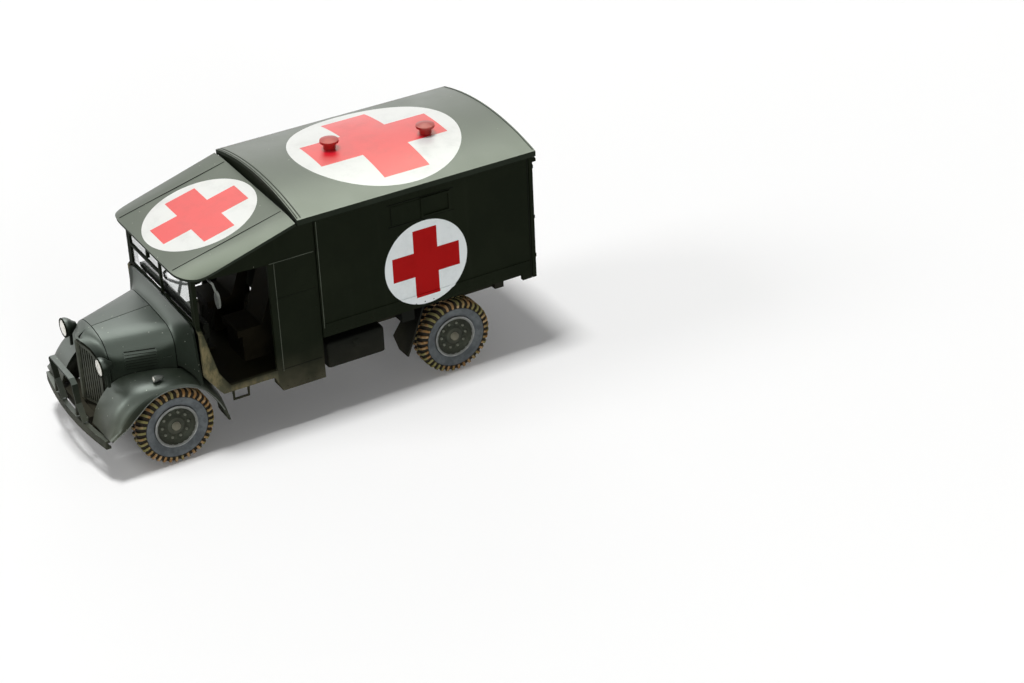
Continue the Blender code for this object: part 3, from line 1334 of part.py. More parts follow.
def make_body_ends(datum):
    """The wall behind the cab, and two rear doors with a window in each."""
    floor = BODY_BOTTOM + SEAT_GAP
    half = CAB_HALF_WIDTH - WALL - SEAT_GAP
    front = arched_wall("body_front", -half, half, floor, BODY_FRONT + SEAT_GAP, BODY_FRONT + SEAT_GAP + WALL)
    finish(front, BODY_PAINT, datum)
    window = rectangle((REAR_WINDOW_INNER, REAR_WINDOW_BOTTOM), (REAR_WINDOW_OUTER, REAR_WINDOW_TOP))
    left = arched_wall("rear_door_left", DOOR_GAP / 2, BODY_HALF_WIDTH, SKIRT_BOTTOM,
                       BODY_REAR - WALL, BODY_REAR, [window])
    root = BODY_REAR - WALL / 2
    face = BODY_REAR + HINGE_DEPTH
    fittings = []
    for height in HINGE_HEIGHTS:
        fittings.append(block("hinge", (BODY_HALF_WIDTH - HINGE_LENGTH, root, height - HINGE_WIDTH / 2),
                              (BODY_HALF_WIDTH - SEAT_GAP, face, height + HINGE_WIDTH / 2)))
    lamp_x, lamp_z = BODY_HALF_WIDTH - HINGE_WIDTH, TAIL_LAMP_HEIGHT + HINGE_WIDTH
    fittings.append(rod("tail_lamp", (lamp_x, root, lamp_z), (lamp_x, STEP_REAR, lamp_z), TAIL_LAMP_RADIUS))
    low, high = DOOR_HANDLE_HEIGHT - DOOR_HANDLE_LENGTH / 2, DOOR_HANDLE_HEIGHT + DOOR_HANDLE_LENGTH / 2
    fittings.append(block("handle", (HINGE_WIDTH, root, low), (2 * HINGE_WIDTH, face + HINGE_DEPTH, high)))
    left = join(left, fittings)
    right = mirrored(left, "rear_door_right")
    lap = SCREEN_BAR / 2
    back = BODY_REAR - WALL - SEAT_GAP
    pane = block("rear_window_left", (REAR_WINDOW_INNER - lap, back - GLASS, REAR_WINDOW_BOTTOM - lap),
                 (REAR_WINDOW_OUTER + lap, back, REAR_WINDOW_TOP + lap))
    for door in (left, right):
        finish(door, BODY_PAINT, datum)
    for glass in (pane, mirrored(pane, "rear_window_right")):
        finish(glass, GLAZING, datum)


def make_body_floor(datum):
    """The floor on two runners over the frame, tied by cross bearers."""
    half = CAB_HALF_WIDTH - WALL - SEAT_GAP
    front = BODY_FRONT + WALL + 2 * SEAT_GAP
    rear = BODY_REAR - WALL - 3 * SEAT_GAP - GLASS
    low = BODY_BOTTOM + SEAT_GAP
    floor = block("body_floor", (-half, front, low), (half, rear, low + BODY_FLOOR_THICKNESS))
    runners = []
    for side in (1, -1):
        near, far = both_sides(side, RAIL_CENTRE - RAIL_WIDTH / 2, RAIL_CENTRE + RAIL_WIDTH / 2)
        runners.append(block("runner", (near, CAB_SIDE_REAR, RAIL_TOP + SEAT_GAP),
                             (far, REAR_STEP_FRONT - SEAT_GAP, low + BODY_FLOOR_THICKNESS / 2)))
        rear_face = WHEELBASE - STOWAGE_AHEAD
        inner, outer = both_sides(side, STOWAGE_INSIDE, STOWAGE_OUTSIDE)
        runners.append(block("side_box", (inner, rear_face - STOWAGE_LENGTH, STOWAGE_BOTTOM),
                             (outer, rear_face, BODY_BOTTOM - SEAT_GAP)))
        inner, outer = both_sides(side, STOWAGE_INSIDE + BEARER_WIDTH / 2, STOWAGE_INSIDE + BEARER_WIDTH)
        hanger_front = rear_face - STOWAGE_LENGTH + BEARER_WIDTH / 2
        runners.append(block("box_hanger", (inner, hanger_front, STOWAGE_BOTTOM + BEARER_WIDTH),
                             (outer, rear_face - BEARER_WIDTH / 2, low + BODY_FLOOR_THICKNESS / 2)))
    for share in BEARER_SHARES:
        place = blend(CAB_SIDE_REAR, SKIRT_FRONT, share)
        runners.append(block("bearer", (-half + BEARER_WIDTH, place - BEARER_WIDTH / 2, low - BEARER_WIDTH),
                             (half - BEARER_WIDTH, place + BEARER_WIDTH / 2, low + BODY_FLOOR_THICKNESS / 2)))
    finish(join(floor, runners), CHASSIS_PAINT, datum)


def make_rear_step(datum):
    """A step board under the rear doors, hung from the frame's last cross member."""
    low = REAR_STEP_TOP - REAR_STEP_THICKNESS
    board = block("rear_step", (-REAR_STEP_HALF, REAR_STEP_FRONT, low),
                  (REAR_STEP_HALF, STEP_REAR, REAR_STEP_TOP))
    brackets = []
    for side in (1, -1):
        x = side * (RAIL_CENTRE + RAIL_WIDTH / 2 + SEAT_GAP + BEARER_WIDTH / 2)
        brackets.append(block("bracket", (x - BEARER_WIDTH / 2, REAR_STEP_FRONT, RAIL_BOTTOM),
                              (x + BEARER_WIDTH / 2, RAIL_REAR, low + REAR_STEP_THICKNESS / 2)))
    finish(join(board, brackets), CHASSIS_PAINT, datum)


def make_vents(datum):
    """Mushroom ventilators that stand on the roof."""
    spots = (
        ("roof_vent_front", VENT_FRONT_X, VENT_FRONT_PLACE),
        ("roof_vent_rear", VENT_REAR_X, VENT_REAR_PLACE),
    )
    for name, x, place in spots:
        base = roof_under(max(abs(x) - VENT_NECK_RADIUS, 0)) + ROOF_THICKNESS + SEAT_GAP
        profile = [
            (0, VENT_HEIGHT), (VENT_RADIUS / 2, VENT_HEIGHT - VENT_CAP / 6),
            (VENT_RADIUS, VENT_HEIGHT - VENT_CAP / 2), (VENT_RADIUS, VENT_HEIGHT - VENT_CAP),
            (VENT_NECK_RADIUS, VENT_HEIGHT - VENT_CAP), (VENT_NECK_RADIUS, 0), (0, 0),
        ]
        vent = turned(name, profile, (x, place, base), (0, 0, 1), LAMP_STEPS)
        finish(vent, RED_PAINT, datum, smooth=True)


def flap_place(height):
    """How far back the flap's front face stands at a height: a leaning plane clear of the tyre."""
    reach = TYRE_RADIUS + FLAP_CLEARANCE
    nearest = WHEELBASE - reach * math.cos(FLAP_LEAN)
    return nearest + (height - TYRE_RADIUS - reach * math.sin(FLAP_LEAN)) * math.tan(FLAP_LEAN)


def make_tanks(datum):
    """The fuel tank on the left, with its filler cap, and a stowage box on the right."""
    rear = flap_place(FLAP_BOTTOM) - TANK_TO_FLAP
    for name, side in (("fuel_tank", 1), ("stowage_box", -1)):
        near, far = both_sides(side, TANK_INSIDE, TANK_OUTSIDE)
        tank = block(name, (near, TANK_FRONT, TANK_BOTTOM), (far, rear, TANK_TOP))
        bevel = tank.modifiers.new("Bevel", "BEVEL")
        bevel.width = TANK_EDGE
        bevel.segments = 2
        extras = []
        rail = RAIL_CENTRE + RAIL_WIDTH / 2 + SEAT_GAP
        inner, outer = both_sides(side, rail, TANK_INSIDE + TANK_EDGE)
        for place in (TANK_FRONT + TANK_STRAP * 2, rear - TANK_STRAP * 2):
            extras.append(block("strap", (inner, place - TANK_STRAP / 2, RAIL_BOTTOM),
                                (outer, place + TANK_STRAP / 2, RAIL_TOP)))
        if side > 0:
            place, height = (TANK_FRONT + rear) / 2, TANK_TOP - CAP_RADIUS - TANK_EDGE
            extras.append(rod("cap", (TANK_OUTSIDE - TANK_EDGE, place, height),
                              (TANK_OUTSIDE + CAP_LENGTH, place, height), CAP_RADIUS))
        finish(join(bake(tank), extras), CHASSIS_PAINT, datum)


def make_flaps(datum):
    """A sheet that leans ahead of each rear tyre, hung under the body, its inner corner cut away."""
    top = BODY_BOTTOM - SEAT_GAP

    def flap_point(u, v):
        low = FLAP_BOTTOM + FLAP_CORNER * max(1 - 2 * u, 0)
        height = blend(low, top, v)
        x = blend(blend(FLAP_INNER_BOTTOM, FLAP_INNER_TOP, v), TRACK_OUTSIDE, u)
        return Vector((x, flap_place(height), height))
    left = sheet("mud_flap_left", 2, FLAP_STEPS, flap_point, FLAP_THICKNESS)
    for flap in (left, mirrored(left, "mud_flap_right")):
        finish(flap, CHASSIS_PAINT, datum)


def main():
    clear_scene()
    datum = empty("front_axle_datum", (0, DATUM_SHIFT, 0))
    for make in (
        make_wheels, make_frame, make_front_axle, make_rear_axle, make_engine, make_drive_line,
        make_exhaust, make_bonnet, make_radiator, make_scuttle, make_wings, make_lamps, make_bumper,
        make_guard, make_cab_roof, make_cab_sides, make_cab_floor, make_windscreen, make_dashboard,
        make_seats, make_steering, make_levers, make_steps, make_mirrors, make_body_roof,
        make_body_sides, make_body_ends, make_body_floor, make_rear_step, make_vents, make_tanks,
        make_flaps,
    ):
        make(datum)


BODY_PAINT = material("body_paint", (0.035, 0.045, 0.030), 0.6)
CHASSIS_PAINT = material("chassis_paint", (0.020, 0.022, 0.018), 0.7)
SEAT_PAINT = material("seat_paint", (0.060, 0.050, 0.030), 0.8)
RED_PAINT = material("red_paint", (0.450, 0.020, 0.020), 0.5)
RUBBER = material("rubber", (0.12, 0.12, 0.125), 0.8)
GLAZING = material("glazing", (0.85, 0.88, 0.88), 0.05)

main()
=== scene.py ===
import math

import bmesh
import bpy
from mathutils import Matrix, Vector
from mathutils.kdtree import KDTree


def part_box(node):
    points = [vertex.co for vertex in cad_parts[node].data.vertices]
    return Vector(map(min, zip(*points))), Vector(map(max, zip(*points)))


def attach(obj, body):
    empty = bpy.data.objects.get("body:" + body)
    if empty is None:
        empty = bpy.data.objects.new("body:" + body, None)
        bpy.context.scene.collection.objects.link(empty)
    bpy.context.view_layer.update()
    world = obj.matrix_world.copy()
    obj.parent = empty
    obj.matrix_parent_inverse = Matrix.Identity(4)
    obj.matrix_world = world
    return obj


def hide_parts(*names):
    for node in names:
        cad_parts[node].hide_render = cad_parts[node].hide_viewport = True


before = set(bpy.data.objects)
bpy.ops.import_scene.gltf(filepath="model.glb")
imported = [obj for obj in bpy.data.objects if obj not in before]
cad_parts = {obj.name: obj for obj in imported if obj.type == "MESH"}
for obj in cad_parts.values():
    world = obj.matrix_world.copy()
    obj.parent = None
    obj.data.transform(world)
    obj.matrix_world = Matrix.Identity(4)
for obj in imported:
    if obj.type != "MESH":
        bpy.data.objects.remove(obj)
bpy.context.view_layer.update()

# Scale model of an ambulance truck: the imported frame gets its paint, markings, tyres, lenses and small trim.
print("stage: frame loaded")


def lowOf(name):
    return Vector(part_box(name)[0])


def highOf(name):
    return Vector(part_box(name)[1])


def middleOf(name):
    return (lowOf(name) + highOf(name)) / 2


frontAxle = middleOf("wheel_disc_front_left").y    # places along the truck are measured from the front axle


# Camera: the photograph's own viewpoint, worked out on the full-size truck and divided down
view = {
    "scale": 48.0,
    "place": (23.642, -8.178, 15.272),
    "turn": 61.163,
    "height": 30.3,
    "roll": -2.648,
    "lens": 88.43,
    "sensor": 36.0,
    "clip": (0.01, 10.0),
}


def makeCamera():
    data = bpy.data.cameras.new("photoCamera")
    data.lens = view["lens"]
    data.sensor_width = view["sensor"]
    data.clip_start, data.clip_end = view["clip"]
    camera = bpy.data.objects.new("photoCamera", data)
    turn, height, roll = (math.radians(view[key]) for key in ("turn", "height", "roll"))
    back = Vector((math.sin(turn) * math.cos(height), -math.cos(turn) * math.cos(height), math.sin(height)))
    right = Vector((math.cos(turn), math.sin(turn), 0.0))
    up = back.cross(right)
    rolledRight = right * math.cos(roll) + up * math.sin(roll)
    rolledUp = up * math.cos(roll) - right * math.sin(roll)
    axes = Matrix((rolledRight, rolledUp, back)).transposed().to_4x4()
    place = Vector(view["place"]) / view["scale"] + Vector((0.0, frontAxle, 0.0))
    camera.matrix_world = Matrix.Translation(place) @ axes
    bpy.context.scene.collection.objects.link(camera)
    bpy.context.scene.camera = camera


makeCamera()
print("stage: camera")


# Node graph helpers: a socket is linked, and a plain number or colour is set where it goes
def plug(tree, value, socket):
    if isinstance(value, bpy.types.NodeSocket):
        tree.links.new(value, socket)
    elif isinstance(value, tuple) and len(value) == 3 and socket.type == "RGBA":
        socket.default_value = (*value, 1.0)
    else:
        socket.default_value = value


def calc(tree, operation, first, second=None):
    node = tree.nodes.new("ShaderNodeMath")
    node.operation = operation
    plug(tree, first, node.inputs[0])
    if second is not None:
        plug(tree, second, node.inputs[1])
    return node.outputs[0]


def reachOf(tree, first, second):
    squares = [calc(tree, "POWER", part, 2.0) for part in (first, second)]
    return calc(tree, "SQRT", calc(tree, "ADD", *squares))


def within(tree, value, low, high):
    above, below = calc(tree, "GREATER_THAN", value, low), calc(tree, "LESS_THAN", value, high)
    return calc(tree, "MULTIPLY", above, below)


# smoothly from low to high while the value goes from start to end; the range rows below are these numbers
def spread(tree, value, start, end, low=0.0, high=1.0):
    node = tree.nodes.new("ShaderNodeMapRange")
    node.interpolation_type = "SMOOTHSTEP"
    plug(tree, value, node.inputs["Value"])
    node.inputs["From Min"].default_value = start
    node.inputs["From Max"].default_value = end
    node.inputs["To Min"].default_value = low
    node.inputs["To Max"].default_value = high
    return node.outputs[0]


def mixed(tree, share, first, second):
    node = tree.nodes.new("ShaderNodeMix")
    node.data_type = "RGBA"
    plug(tree, share, node.inputs[0])
    plug(tree, first, node.inputs[6])
    plug(tree, second, node.inputs[7])
    return node.outputs[2]


def noise(tree, place, scale, detail=4.0, rough=0.6):
    node = tree.nodes.new("ShaderNodeTexNoise")
    tree.links.new(place, node.inputs["Vector"])
    node.inputs["Scale"].default_value = scale
    node.inputs["Detail"].default_value = detail
    node.inputs["Roughness"].default_value = rough
    return node.outputs["Fac"]


def stretched(tree, place, scale):
    node = tree.nodes.new("ShaderNodeMapping")
    tree.links.new(place, node.inputs["Vector"])
    node.inputs["Scale"].default_value = scale
    return node.outputs["Vector"]


def specks(tree, place, scale, size, share):
    cells = tree.nodes.new("ShaderNodeTexVoronoi")
    tree.links.new(place, cells.inputs["Vector"])
    cells.inputs["Scale"].default_value = scale
    near = calc(tree, "LESS_THAN", cells.outputs["Distance"], size)
    pick = tree.nodes.new("ShaderNodeSeparateColor")
    tree.links.new(cells.outputs["Color"], pick.inputs[0])
    return calc(tree, "MULTIPLY", near, calc(tree, "LESS_THAN", pick.outputs[0], share))


def ribs(tree, place, direction, scale):
    wave = tree.nodes.new("ShaderNodeTexWave")
    wave.bands_direction = direction
    wave.inputs["Scale"].default_value = scale
    tree.links.new(place, wave.inputs["Vector"])
    return wave.outputs["Fac"]


def shaded(colour, share):
    return tuple(part * share for part in colour)


def freshPaint(name):
    paint = bpy.data.materials.new(name)
    paint.use_nodes = True
    return paint, paint.node_tree, paint.node_tree.nodes["Principled BSDF"]


def placeOn(tree):
    return tree.nodes.new("ShaderNodeTexCoord").outputs["Object"]


def axesOf(tree, vector):
    split = tree.nodes.new("ShaderNodeSeparateXYZ")
    tree.links.new(vector, split.inputs[0])
    return split.outputs


def faceAxes(tree, kind="True Normal"):
    return axesOf(tree, tree.nodes.new("ShaderNodeNewGeometry").outputs[kind])


def bumped(tree, shader, height, depth, strength=0.6):
    node = tree.nodes.new("ShaderNodeBump")
    node.inputs["Strength"].default_value = strength
    node.inputs["Distance"].default_value = depth
    tree.links.new(height, node.inputs["Height"])
    tree.links.new(node.outputs[0], shader.inputs["Normal"])


# Floor and light: a key overhead, panels for the sheen, weak side, back and front lights and a dim white room
studio = {
    "floorColour": (0.90, 0.90, 0.895),
    "floorSize": 3.0,
    "floorRough": 0.9,
    "floorSheen": 0.1,
    "floorLift": 0.03,
    "floorEven": 0.80,    # the share of the key's falloff that is made up, so that the floor stays white
    "floorEvenReach": 0.92,
    "worldStrength": 0.13,
    "seenWhite": 1.0,
}
softboxes = [
    # a box that isn't shiny has no highlight of its own, and one that doesn't light has only that
    {"name": "keyBox", "place": (0.01, -0.10, 0.95), "aim": (0.0, -0.04, 0.03), "size": 0.17, "watts": 6.3,
     "lights": True, "shiny": False},
    {"name": "sheenBox", "place": (-0.34, 0.16, 0.80), "aim": (0.0, 0.0, 0.03), "size": 0.66, "watts": 5.8,
     "lights": False, "shiny": True},
    {"name": "farBox", "place": (-0.95, 0.45, 0.30), "aim": (0.0, 0.0, 0.03), "size": 0.70, "watts": 1.1,
     "lights": False, "shiny": True},
    {"name": "noseBox", "place": (0.75, -0.62, 0.20), "aim": (0.0, 0.0, 0.03), "size": 0.45, "watts": 3.6,
     "lights": False, "shiny": True},
    {"name": "wingBox", "place": (-0.80, -0.56, 0.28), "aim": (0.0, 0.0, 0.03), "size": 0.45, "watts": 0.60,
     "lights": False, "shiny": True},
    {"name": "backBox", "place": (-0.80, 0.34, 0.30), "aim": (0.0, 0.0, 0.03), "size": 0.50, "watts": 0.8,
     "lights": True, "shiny": False},
    {"name": "sideBox", "place": (0.97, -0.15, 0.18), "aim": (0.0, 0.0, 0.03), "size": 0.34, "watts": 2.9,
     "lights": True, "shiny": False},
    {"name": "frontBox", "place": (-0.25, -0.85, 0.66), "aim": (0.0, 0.0, 0.03), "size": 0.40, "watts": 3.2,
     "lights": True, "shiny": True},
]


def makeLamps():
    for box in softboxes:
        data = bpy.data.lights.new(box["name"], "AREA")
        data.size = box["size"]
        data.energy = box["watts"]
        lamp = bpy.data.objects.new(box["name"], data)
        aim = Vector(box["aim"]) - Vector(box["place"])
        turn = aim.to_track_quat("-Z", "Y").to_matrix().to_4x4()
        lamp.matrix_world = Matrix.Translation(box["place"]) @ turn
        lamp.visible_diffuse = box["lights"]
        lamp.visible_glossy = box["shiny"]
        bpy.context.scene.collection.objects.link(lamp)


def makeWorld():
    world = bpy.data.worlds.new("studio")
    bpy.context.scene.world = world
    world.use_nodes = True
    tree = world.node_tree
    background = tree.nodes["Background"]
    background.inputs["Color"].default_value = (1.0, 1.0, 1.0, 1.0)
    path = tree.nodes.new("ShaderNodeLightPath").outputs
    seen = calc(tree, "MAXIMUM", path["Is Camera Ray"], path["Is Transmission Ray"])
    seen = calc(tree, "MAXIMUM", seen, path["Is Glossy Ray"])
    strength = spread(tree, seen, 0.0, 1.0, studio["worldStrength"], studio["seenWhite"])
    plug(tree, strength, background.inputs["Strength"])


def makeFloor():
    bpy.ops.mesh.primitive_plane_add(size=studio["floorSize"])
    floor = bpy.context.object
    floor.name = "studioFloor"
    paint, tree, shader = freshPaint("studioFloor")
    along = axesOf(tree, placeOn(tree))
    shader.inputs["Base Color"].default_value = (*studio["floorColour"], 1.0)
    shader.inputs["Roughness"].default_value = studio["floorRough"]
    shader.inputs["Specular IOR Level"].default_value = studio["floorSheen"]
    shader.inputs["Emission Color"].default_value = (1.0, 1.0, 1.0, 1.0)
    reach = [calc(tree, "SUBTRACT", along[index], softboxes[0]["place"][index]) for index in (0, 1)]
    reach = calc(tree, "DIVIDE", reachOf(tree, *reach), studio["floorEvenReach"])
    fall = calc(tree, "POWER", calc(tree, "ADD", calc(tree, "POWER", reach, 2.0), 1.0), -2.0)
    lift = calc(tree, "MULTIPLY", calc(tree, "SUBTRACT", 1.0, fall), studio["floorEven"])
    lift = calc(tree, "ADD", lift, studio["floorLift"])
    seen = tree.nodes.new("ShaderNodeLightPath").outputs["Is Camera Ray"]
    plug(tree, calc(tree, "MULTIPLY", seen, lift), shader.inputs["Emission Strength"])
    floor.data.materials.append(paint)


makeLamps()
makeWorld()
makeFloor()
bpy.context.scene.view_settings.view_transform = "Standard"
print("stage: studio")


# Paint: a brushed, faded and dusted coat that every painted piece shares, with its own numbers
coat = {
    "base": (0.0050, 0.0070, 0.0034),
    "faded": (0.0080, 0.0105, 0.0056),
    "cloudScale": 70.0,
    "cloudRange": (0.35, 0.70),
    "grainScale": 1600.0,
    "grainDetail": 2.0,
    "streakScale": (420.0, 420.0, 22.0),
    "streakDetail": 3.0,
    "streakRange": (0.55, 0.85),
    "streakShare": 0.30,
    "streakColour": (0.0150, 0.0175, 0.0110),
    "dustColour": (0.085, 0.078, 0.052),
    "dustLow": 0.008,
    "dustHigh": 0.024,
    "dustShare": 0.45,
    "dustPatches": (0.30, 0.65, 0.25, 1.0),
    "speckColour": (0.16, 0.16, 0.13),
    "speckScale": 430.0,
    "speckSize": 0.045,
    "speckShare": 0.06,
    "rough": (0.52, 0.70),
    "roughRange": (0.3, 0.7),
    "sheen": 0.05,
    "sheenSide": 1.0,    # the share of the sheen on faces that stand upright
    "sheenRise": (0.15, 0.70),
    "sideRough": 0.80,
    "sheenTint": (0.88, 1.0, 0.78),
    "grainDepth": 0.000015,
}


def paintCoat(name, changes=None, mark=None):
    look = {**coat, **(changes or {})}
    paint, tree, shader = freshPaint(name)
    place = placeOn(tree)
    along = axesOf(tree, place)
    cloud = noise(tree, place, look["cloudScale"])
    grain = noise(tree, place, look["grainScale"], look["grainDetail"])
    colour = mixed(tree, spread(tree, cloud, *look["cloudRange"]), look["base"], look["faded"])
    streak = noise(tree, stretched(tree, place, look["streakScale"]), 1.0, look["streakDetail"])
    streak = spread(tree, streak, *look["streakRange"], 0.0, look["streakShare"])
    colour = mixed(tree, streak, colour, look["streakColour"])
    spots = specks(tree, place, look["speckScale"], look["speckSize"], look["speckShare"])
    colour = mixed(tree, spots, colour, look["speckColour"])
    if mark:
        colour = mark(tree, place, along, colour)
    low = spread(tree, along[2], look["dustHigh"], look["dustLow"])
    patchy = spread(tree, cloud, *look["dustPatches"])
    dust = calc(tree, "MULTIPLY", calc(tree, "MULTIPLY", low, patchy), look["dustShare"])
    colour = mixed(tree, dust, colour, look["dustColour"])
    plug(tree, colour, shader.inputs["Base Color"])
    rough = spread(tree, cloud, *look["roughRange"], *look["rough"])
    shader.inputs["Specular IOR Level"].default_value = look["sheen"]
    if look["sheenSide"] < 1.0:
        rise = spread(tree, faceAxes(tree, "Normal")[2], *look["sheenRise"])
        tint = mixed(tree, rise, shaded(look["sheenTint"], look["sheenSide"]), look["sheenTint"])
        plug(tree, tint, shader.inputs["Specular Tint"])
        side = calc(tree, "MULTIPLY", calc(tree, "SUBTRACT", 1.0, rise), look["sideRough"])
        rough = calc(tree, "MAXIMUM", rough, side)
    else:
        shader.inputs["Specular Tint"].default_value = (*look["sheenTint"], 1.0)
    plug(tree, rough, shader.inputs["Roughness"])
    bumped(tree, shader, grain, look["grainDepth"])
    return paint


def dress(names, paint):
    for name in names:
        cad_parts[name].material_slots[0].material = paint


# Markings: a white disc with a red cross, painted by distance from its centre and a little worn in patches
markWear = {"scale": 150.0, "detail": 6.0, "rough": 0.7, "range": (0.42, 0.75), "shade": 0.86}


def crossMark(tree, place, across, forward, mark, colour, mask):
    disc = calc(tree, "LESS_THAN", reachOf(tree, across, forward), mark["radius"])
    first, second = calc(tree, "ABSOLUTE", across), calc(tree, "ABSOLUTE", forward)
    arm = calc(tree, "LESS_THAN", calc(tree, "MINIMUM", first, second), mark["armHalfWidth"])
    end = calc(tree, "LESS_THAN", calc(tree, "MAXIMUM", first, second), mark["armLength"])
    worn = noise(tree, place, markWear["scale"], markWear["detail"], markWear["rough"])
    worn = spread(tree, worn, *markWear["range"])
    white, red = (mixed(tree, worn, whole, shaded(whole, markWear["shade"]))
                  for whole in (mark["white"], mark["red"]))
    colour = mixed(tree, calc(tree, "MULTIPLY", disc, mask), colour, white)
    cross = calc(tree, "MULTIPLY", calc(tree, "MULTIPLY", arm, end), mask)
    return mixed(tree, cross, colour, red)


roofMark = {
    "place": 0.0656, "radius": 0.0210, "armLength": 0.0169, "armHalfWidth": 0.0060, "facing": 0.3,
    "white": (0.66, 0.655, 0.645), "red": (0.66, 0.007, 0.024),
}
cabRoofMark = {
    "place": 0.0192, "slope": 0.246, "radius": 0.0141, "armLength": 0.0114, "armHalfWidth": 0.00406,
    "facing": 0.3, "white": (0.66, 0.655, 0.645), "red": (0.66, 0.007, 0.024),
}
sideMark = {
    "place": 0.0666, "height": 0.0334, "radius": 0.0111, "armLength": 0.0090, "armHalfWidth": 0.0032,
    "skin": 0.0008, "white": (0.70, 0.74, 0.74), "red": (0.35, 0.0055, 0.0060),
}


def markRoof(tree, place, along, colour):
    up = calc(tree, "GREATER_THAN", faceAxes(tree)[2], roofMark["facing"])
    back = calc(tree, "SUBTRACT", along[1], roofMark["place"] + frontAxle)
    return crossMark(tree, place, along[0], back, roofMark, colour, up)


def markCabRoof(tree, place, along, colour):
    up = calc(tree, "GREATER_THAN", faceAxes(tree)[2], cabRoofMark["facing"])
    back = calc(tree, "SUBTRACT", along[1], cabRoofMark["place"] + frontAxle)
    back = calc(tree, "MULTIPLY", back, math.sqrt(1.0 + cabRoofMark["slope"] ** 2))
    return crossMark(tree, place, along[0], back, cabRoofMark, colour, up)


def markSide(tree, place, along, colour):
    skin = highOf("body_side_left").x - sideMark["skin"]
    out = calc(tree, "GREATER_THAN", calc(tree, "ABSOLUTE", along[0]), skin)
    back = calc(tree, "SUBTRACT", along[1], sideMark["place"] + frontAxle)
    up = calc(tree, "SUBTRACT", along[2], sideMark["height"])
    return crossMark(tree, place, back, up, sideMark, colour, out)


jamb = {
    "top": 0.0326, "back": 0.0122, "lean": 0.30, "fade": 0.0020, "share": 0.9,
    "colour": (0.062, 0.062, 0.037), "ochre": (0.185, 0.155, 0.080),
    "streaks": (1100.0, 500.0, 260.0), "streakDetail": 5.0, "streakRough": 0.7, "streakRange": (0.40, 0.70),
    "sillTop": 0.0172, "sillFoot": 0.0150, "sillBack": 0.0262, "sillFade": 0.0004,
}


def markJamb(tree, place, along, colour):
    # the strip ahead of the doorway and the sill under it are thick with dry dust, ochre in patches
    place = stretched(tree, place, jamb["streaks"])
    patches = noise(tree, place, 1.0, jamb["streakDetail"], jamb["streakRough"])
    patches = spread(tree, patches, *jamb["streakRange"])
    dirt = mixed(tree, patches, jamb["colour"], jamb["ochre"])
    back = calc(tree, "SUBTRACT", along[1], frontAxle)
    line = calc(tree, "ADD", back, calc(tree, "MULTIPLY", along[2], jamb["lean"]))
    edge = jamb["back"] + jamb["lean"] * jamb["top"] / 2
    strip = spread(tree, line, edge + jamb["fade"], edge, 0.0, jamb["share"])
    strip = calc(tree, "MULTIPLY", strip, calc(tree, "LESS_THAN", along[2], jamb["top"]))
    sill = spread(tree, along[2], jamb["sillTop"], jamb["sillFoot"], 0.0, jamb["share"])
    ahead = spread(tree, back, jamb["sillBack"], jamb["sillBack"] - jamb["sillFade"])
    sill = calc(tree, "MULTIPLY", sill, ahead)
    return mixed(tree, calc(tree, "MAXIMUM", strip, sill), colour, dirt)


# the roofs and the curved nose panels take the same green lighter than the other panels: painted light on the
# parts that catch the light, besides their stronger sheen
sheenTop = {
    "base": (0.0090, 0.0125, 0.0080), "faded": (0.0150, 0.0195, 0.0130), "sheen": 1.0, "rough": (0.33, 0.41),
    "sheenSide": 0.1, "speckShare": 0.12, "speckSize": 0.10, "speckScale": 650.0,
}
sheenCurved = {
    "base": (0.0085, 0.0120, 0.0080), "faded": (0.0155, 0.0210, 0.0150), "sheen": 1.0, "sheenSide": 0.08,
    "rough": (0.34, 0.46), "sheenTint": (0.88, 1.0, 0.90),
    "dustShare": 0.35, "speckShare": 0.50, "speckColour": (0.15, 0.16, 0.13), "speckSize": 0.10,
    "speckScale": 650.0,
}

bodyPaint = paintCoat("bodyPaint")
curvedPaint = paintCoat("curvedPaint", sheenCurved)
roofPaint = paintCoat("roofPaint", sheenTop, markRoof)
cabRoofPaint = paintCoat("cabRoofPaint", sheenTop, markCabRoof)
sidePaint = paintCoat("sidePaint", {"rough": (0.55, 0.70)}, markSide)
cabSidePaint = paintCoat("cabSidePaint", {"dustHigh": 0.022, "dustShare": 0.75}, markJamb)
chassisPaint = paintCoat("chassisPaint", {
    "base": (0.0060, 0.0065, 0.0055), "faded": (0.012, 0.012, 0.010), "dustHigh": 0.020, "dustShare": 0.40,
})
cabinPaint = paintCoat("cabinPaint", {
    "base": (0.0022, 0.0026, 0.0018), "faded": (0.0050, 0.0052, 0.0038), "dustHigh": 0.018, "dustLow": 0.015,
    "dustColour": (0.045, 0.036, 0.016),
})
greyPaint = paintCoat("greyPaint", {
    "base": (0.070, 0.074, 0.070), "faded": (0.12, 0.125, 0.12), "sheen": 0.6, "rough": (0.35, 0.5),
    "dustShare": 0.1,
})
redPaint = paintCoat("redPaint", {
    "base": (0.30, 0.012, 0.012), "faded": (0.42, 0.022, 0.022), "streakColour": (0.10, 0.010, 0.008),
    "sheen": 0.6, "rough": (0.35, 0.5), "speckShare": 0.02,
})
seatPaint = paintCoat("seatPaint", {
    "base": (0.0040, 0.0034, 0.0020), "faded": (0.0090, 0.0072, 0.0042), "cloudScale": 160.0,
    "grainScale": 2600.0, "grainDepth": 0.00005, "rough": (0.6, 0.8), "dustHigh": 0.019,
})
seamPaint = paintCoat("seamPaint", {
    "base": (0.0030, 0.0035, 0.0028), "faded": (0.006, 0.007, 0.005), "speckShare": 0.0, "dustShare": 0.1,
})
# painted highlight: a paler green for the raised beads and posts, standing in for the light on their edges
edgeHighlightPaint = paintCoat("edgeHighlightPaint", {
    "base": (0.022, 0.026, 0.019), "faded": (0.048, 0.054, 0.042), "sheen": 0.4, "rough": (0.45, 0.6),
    "cloudScale": 300.0,
})

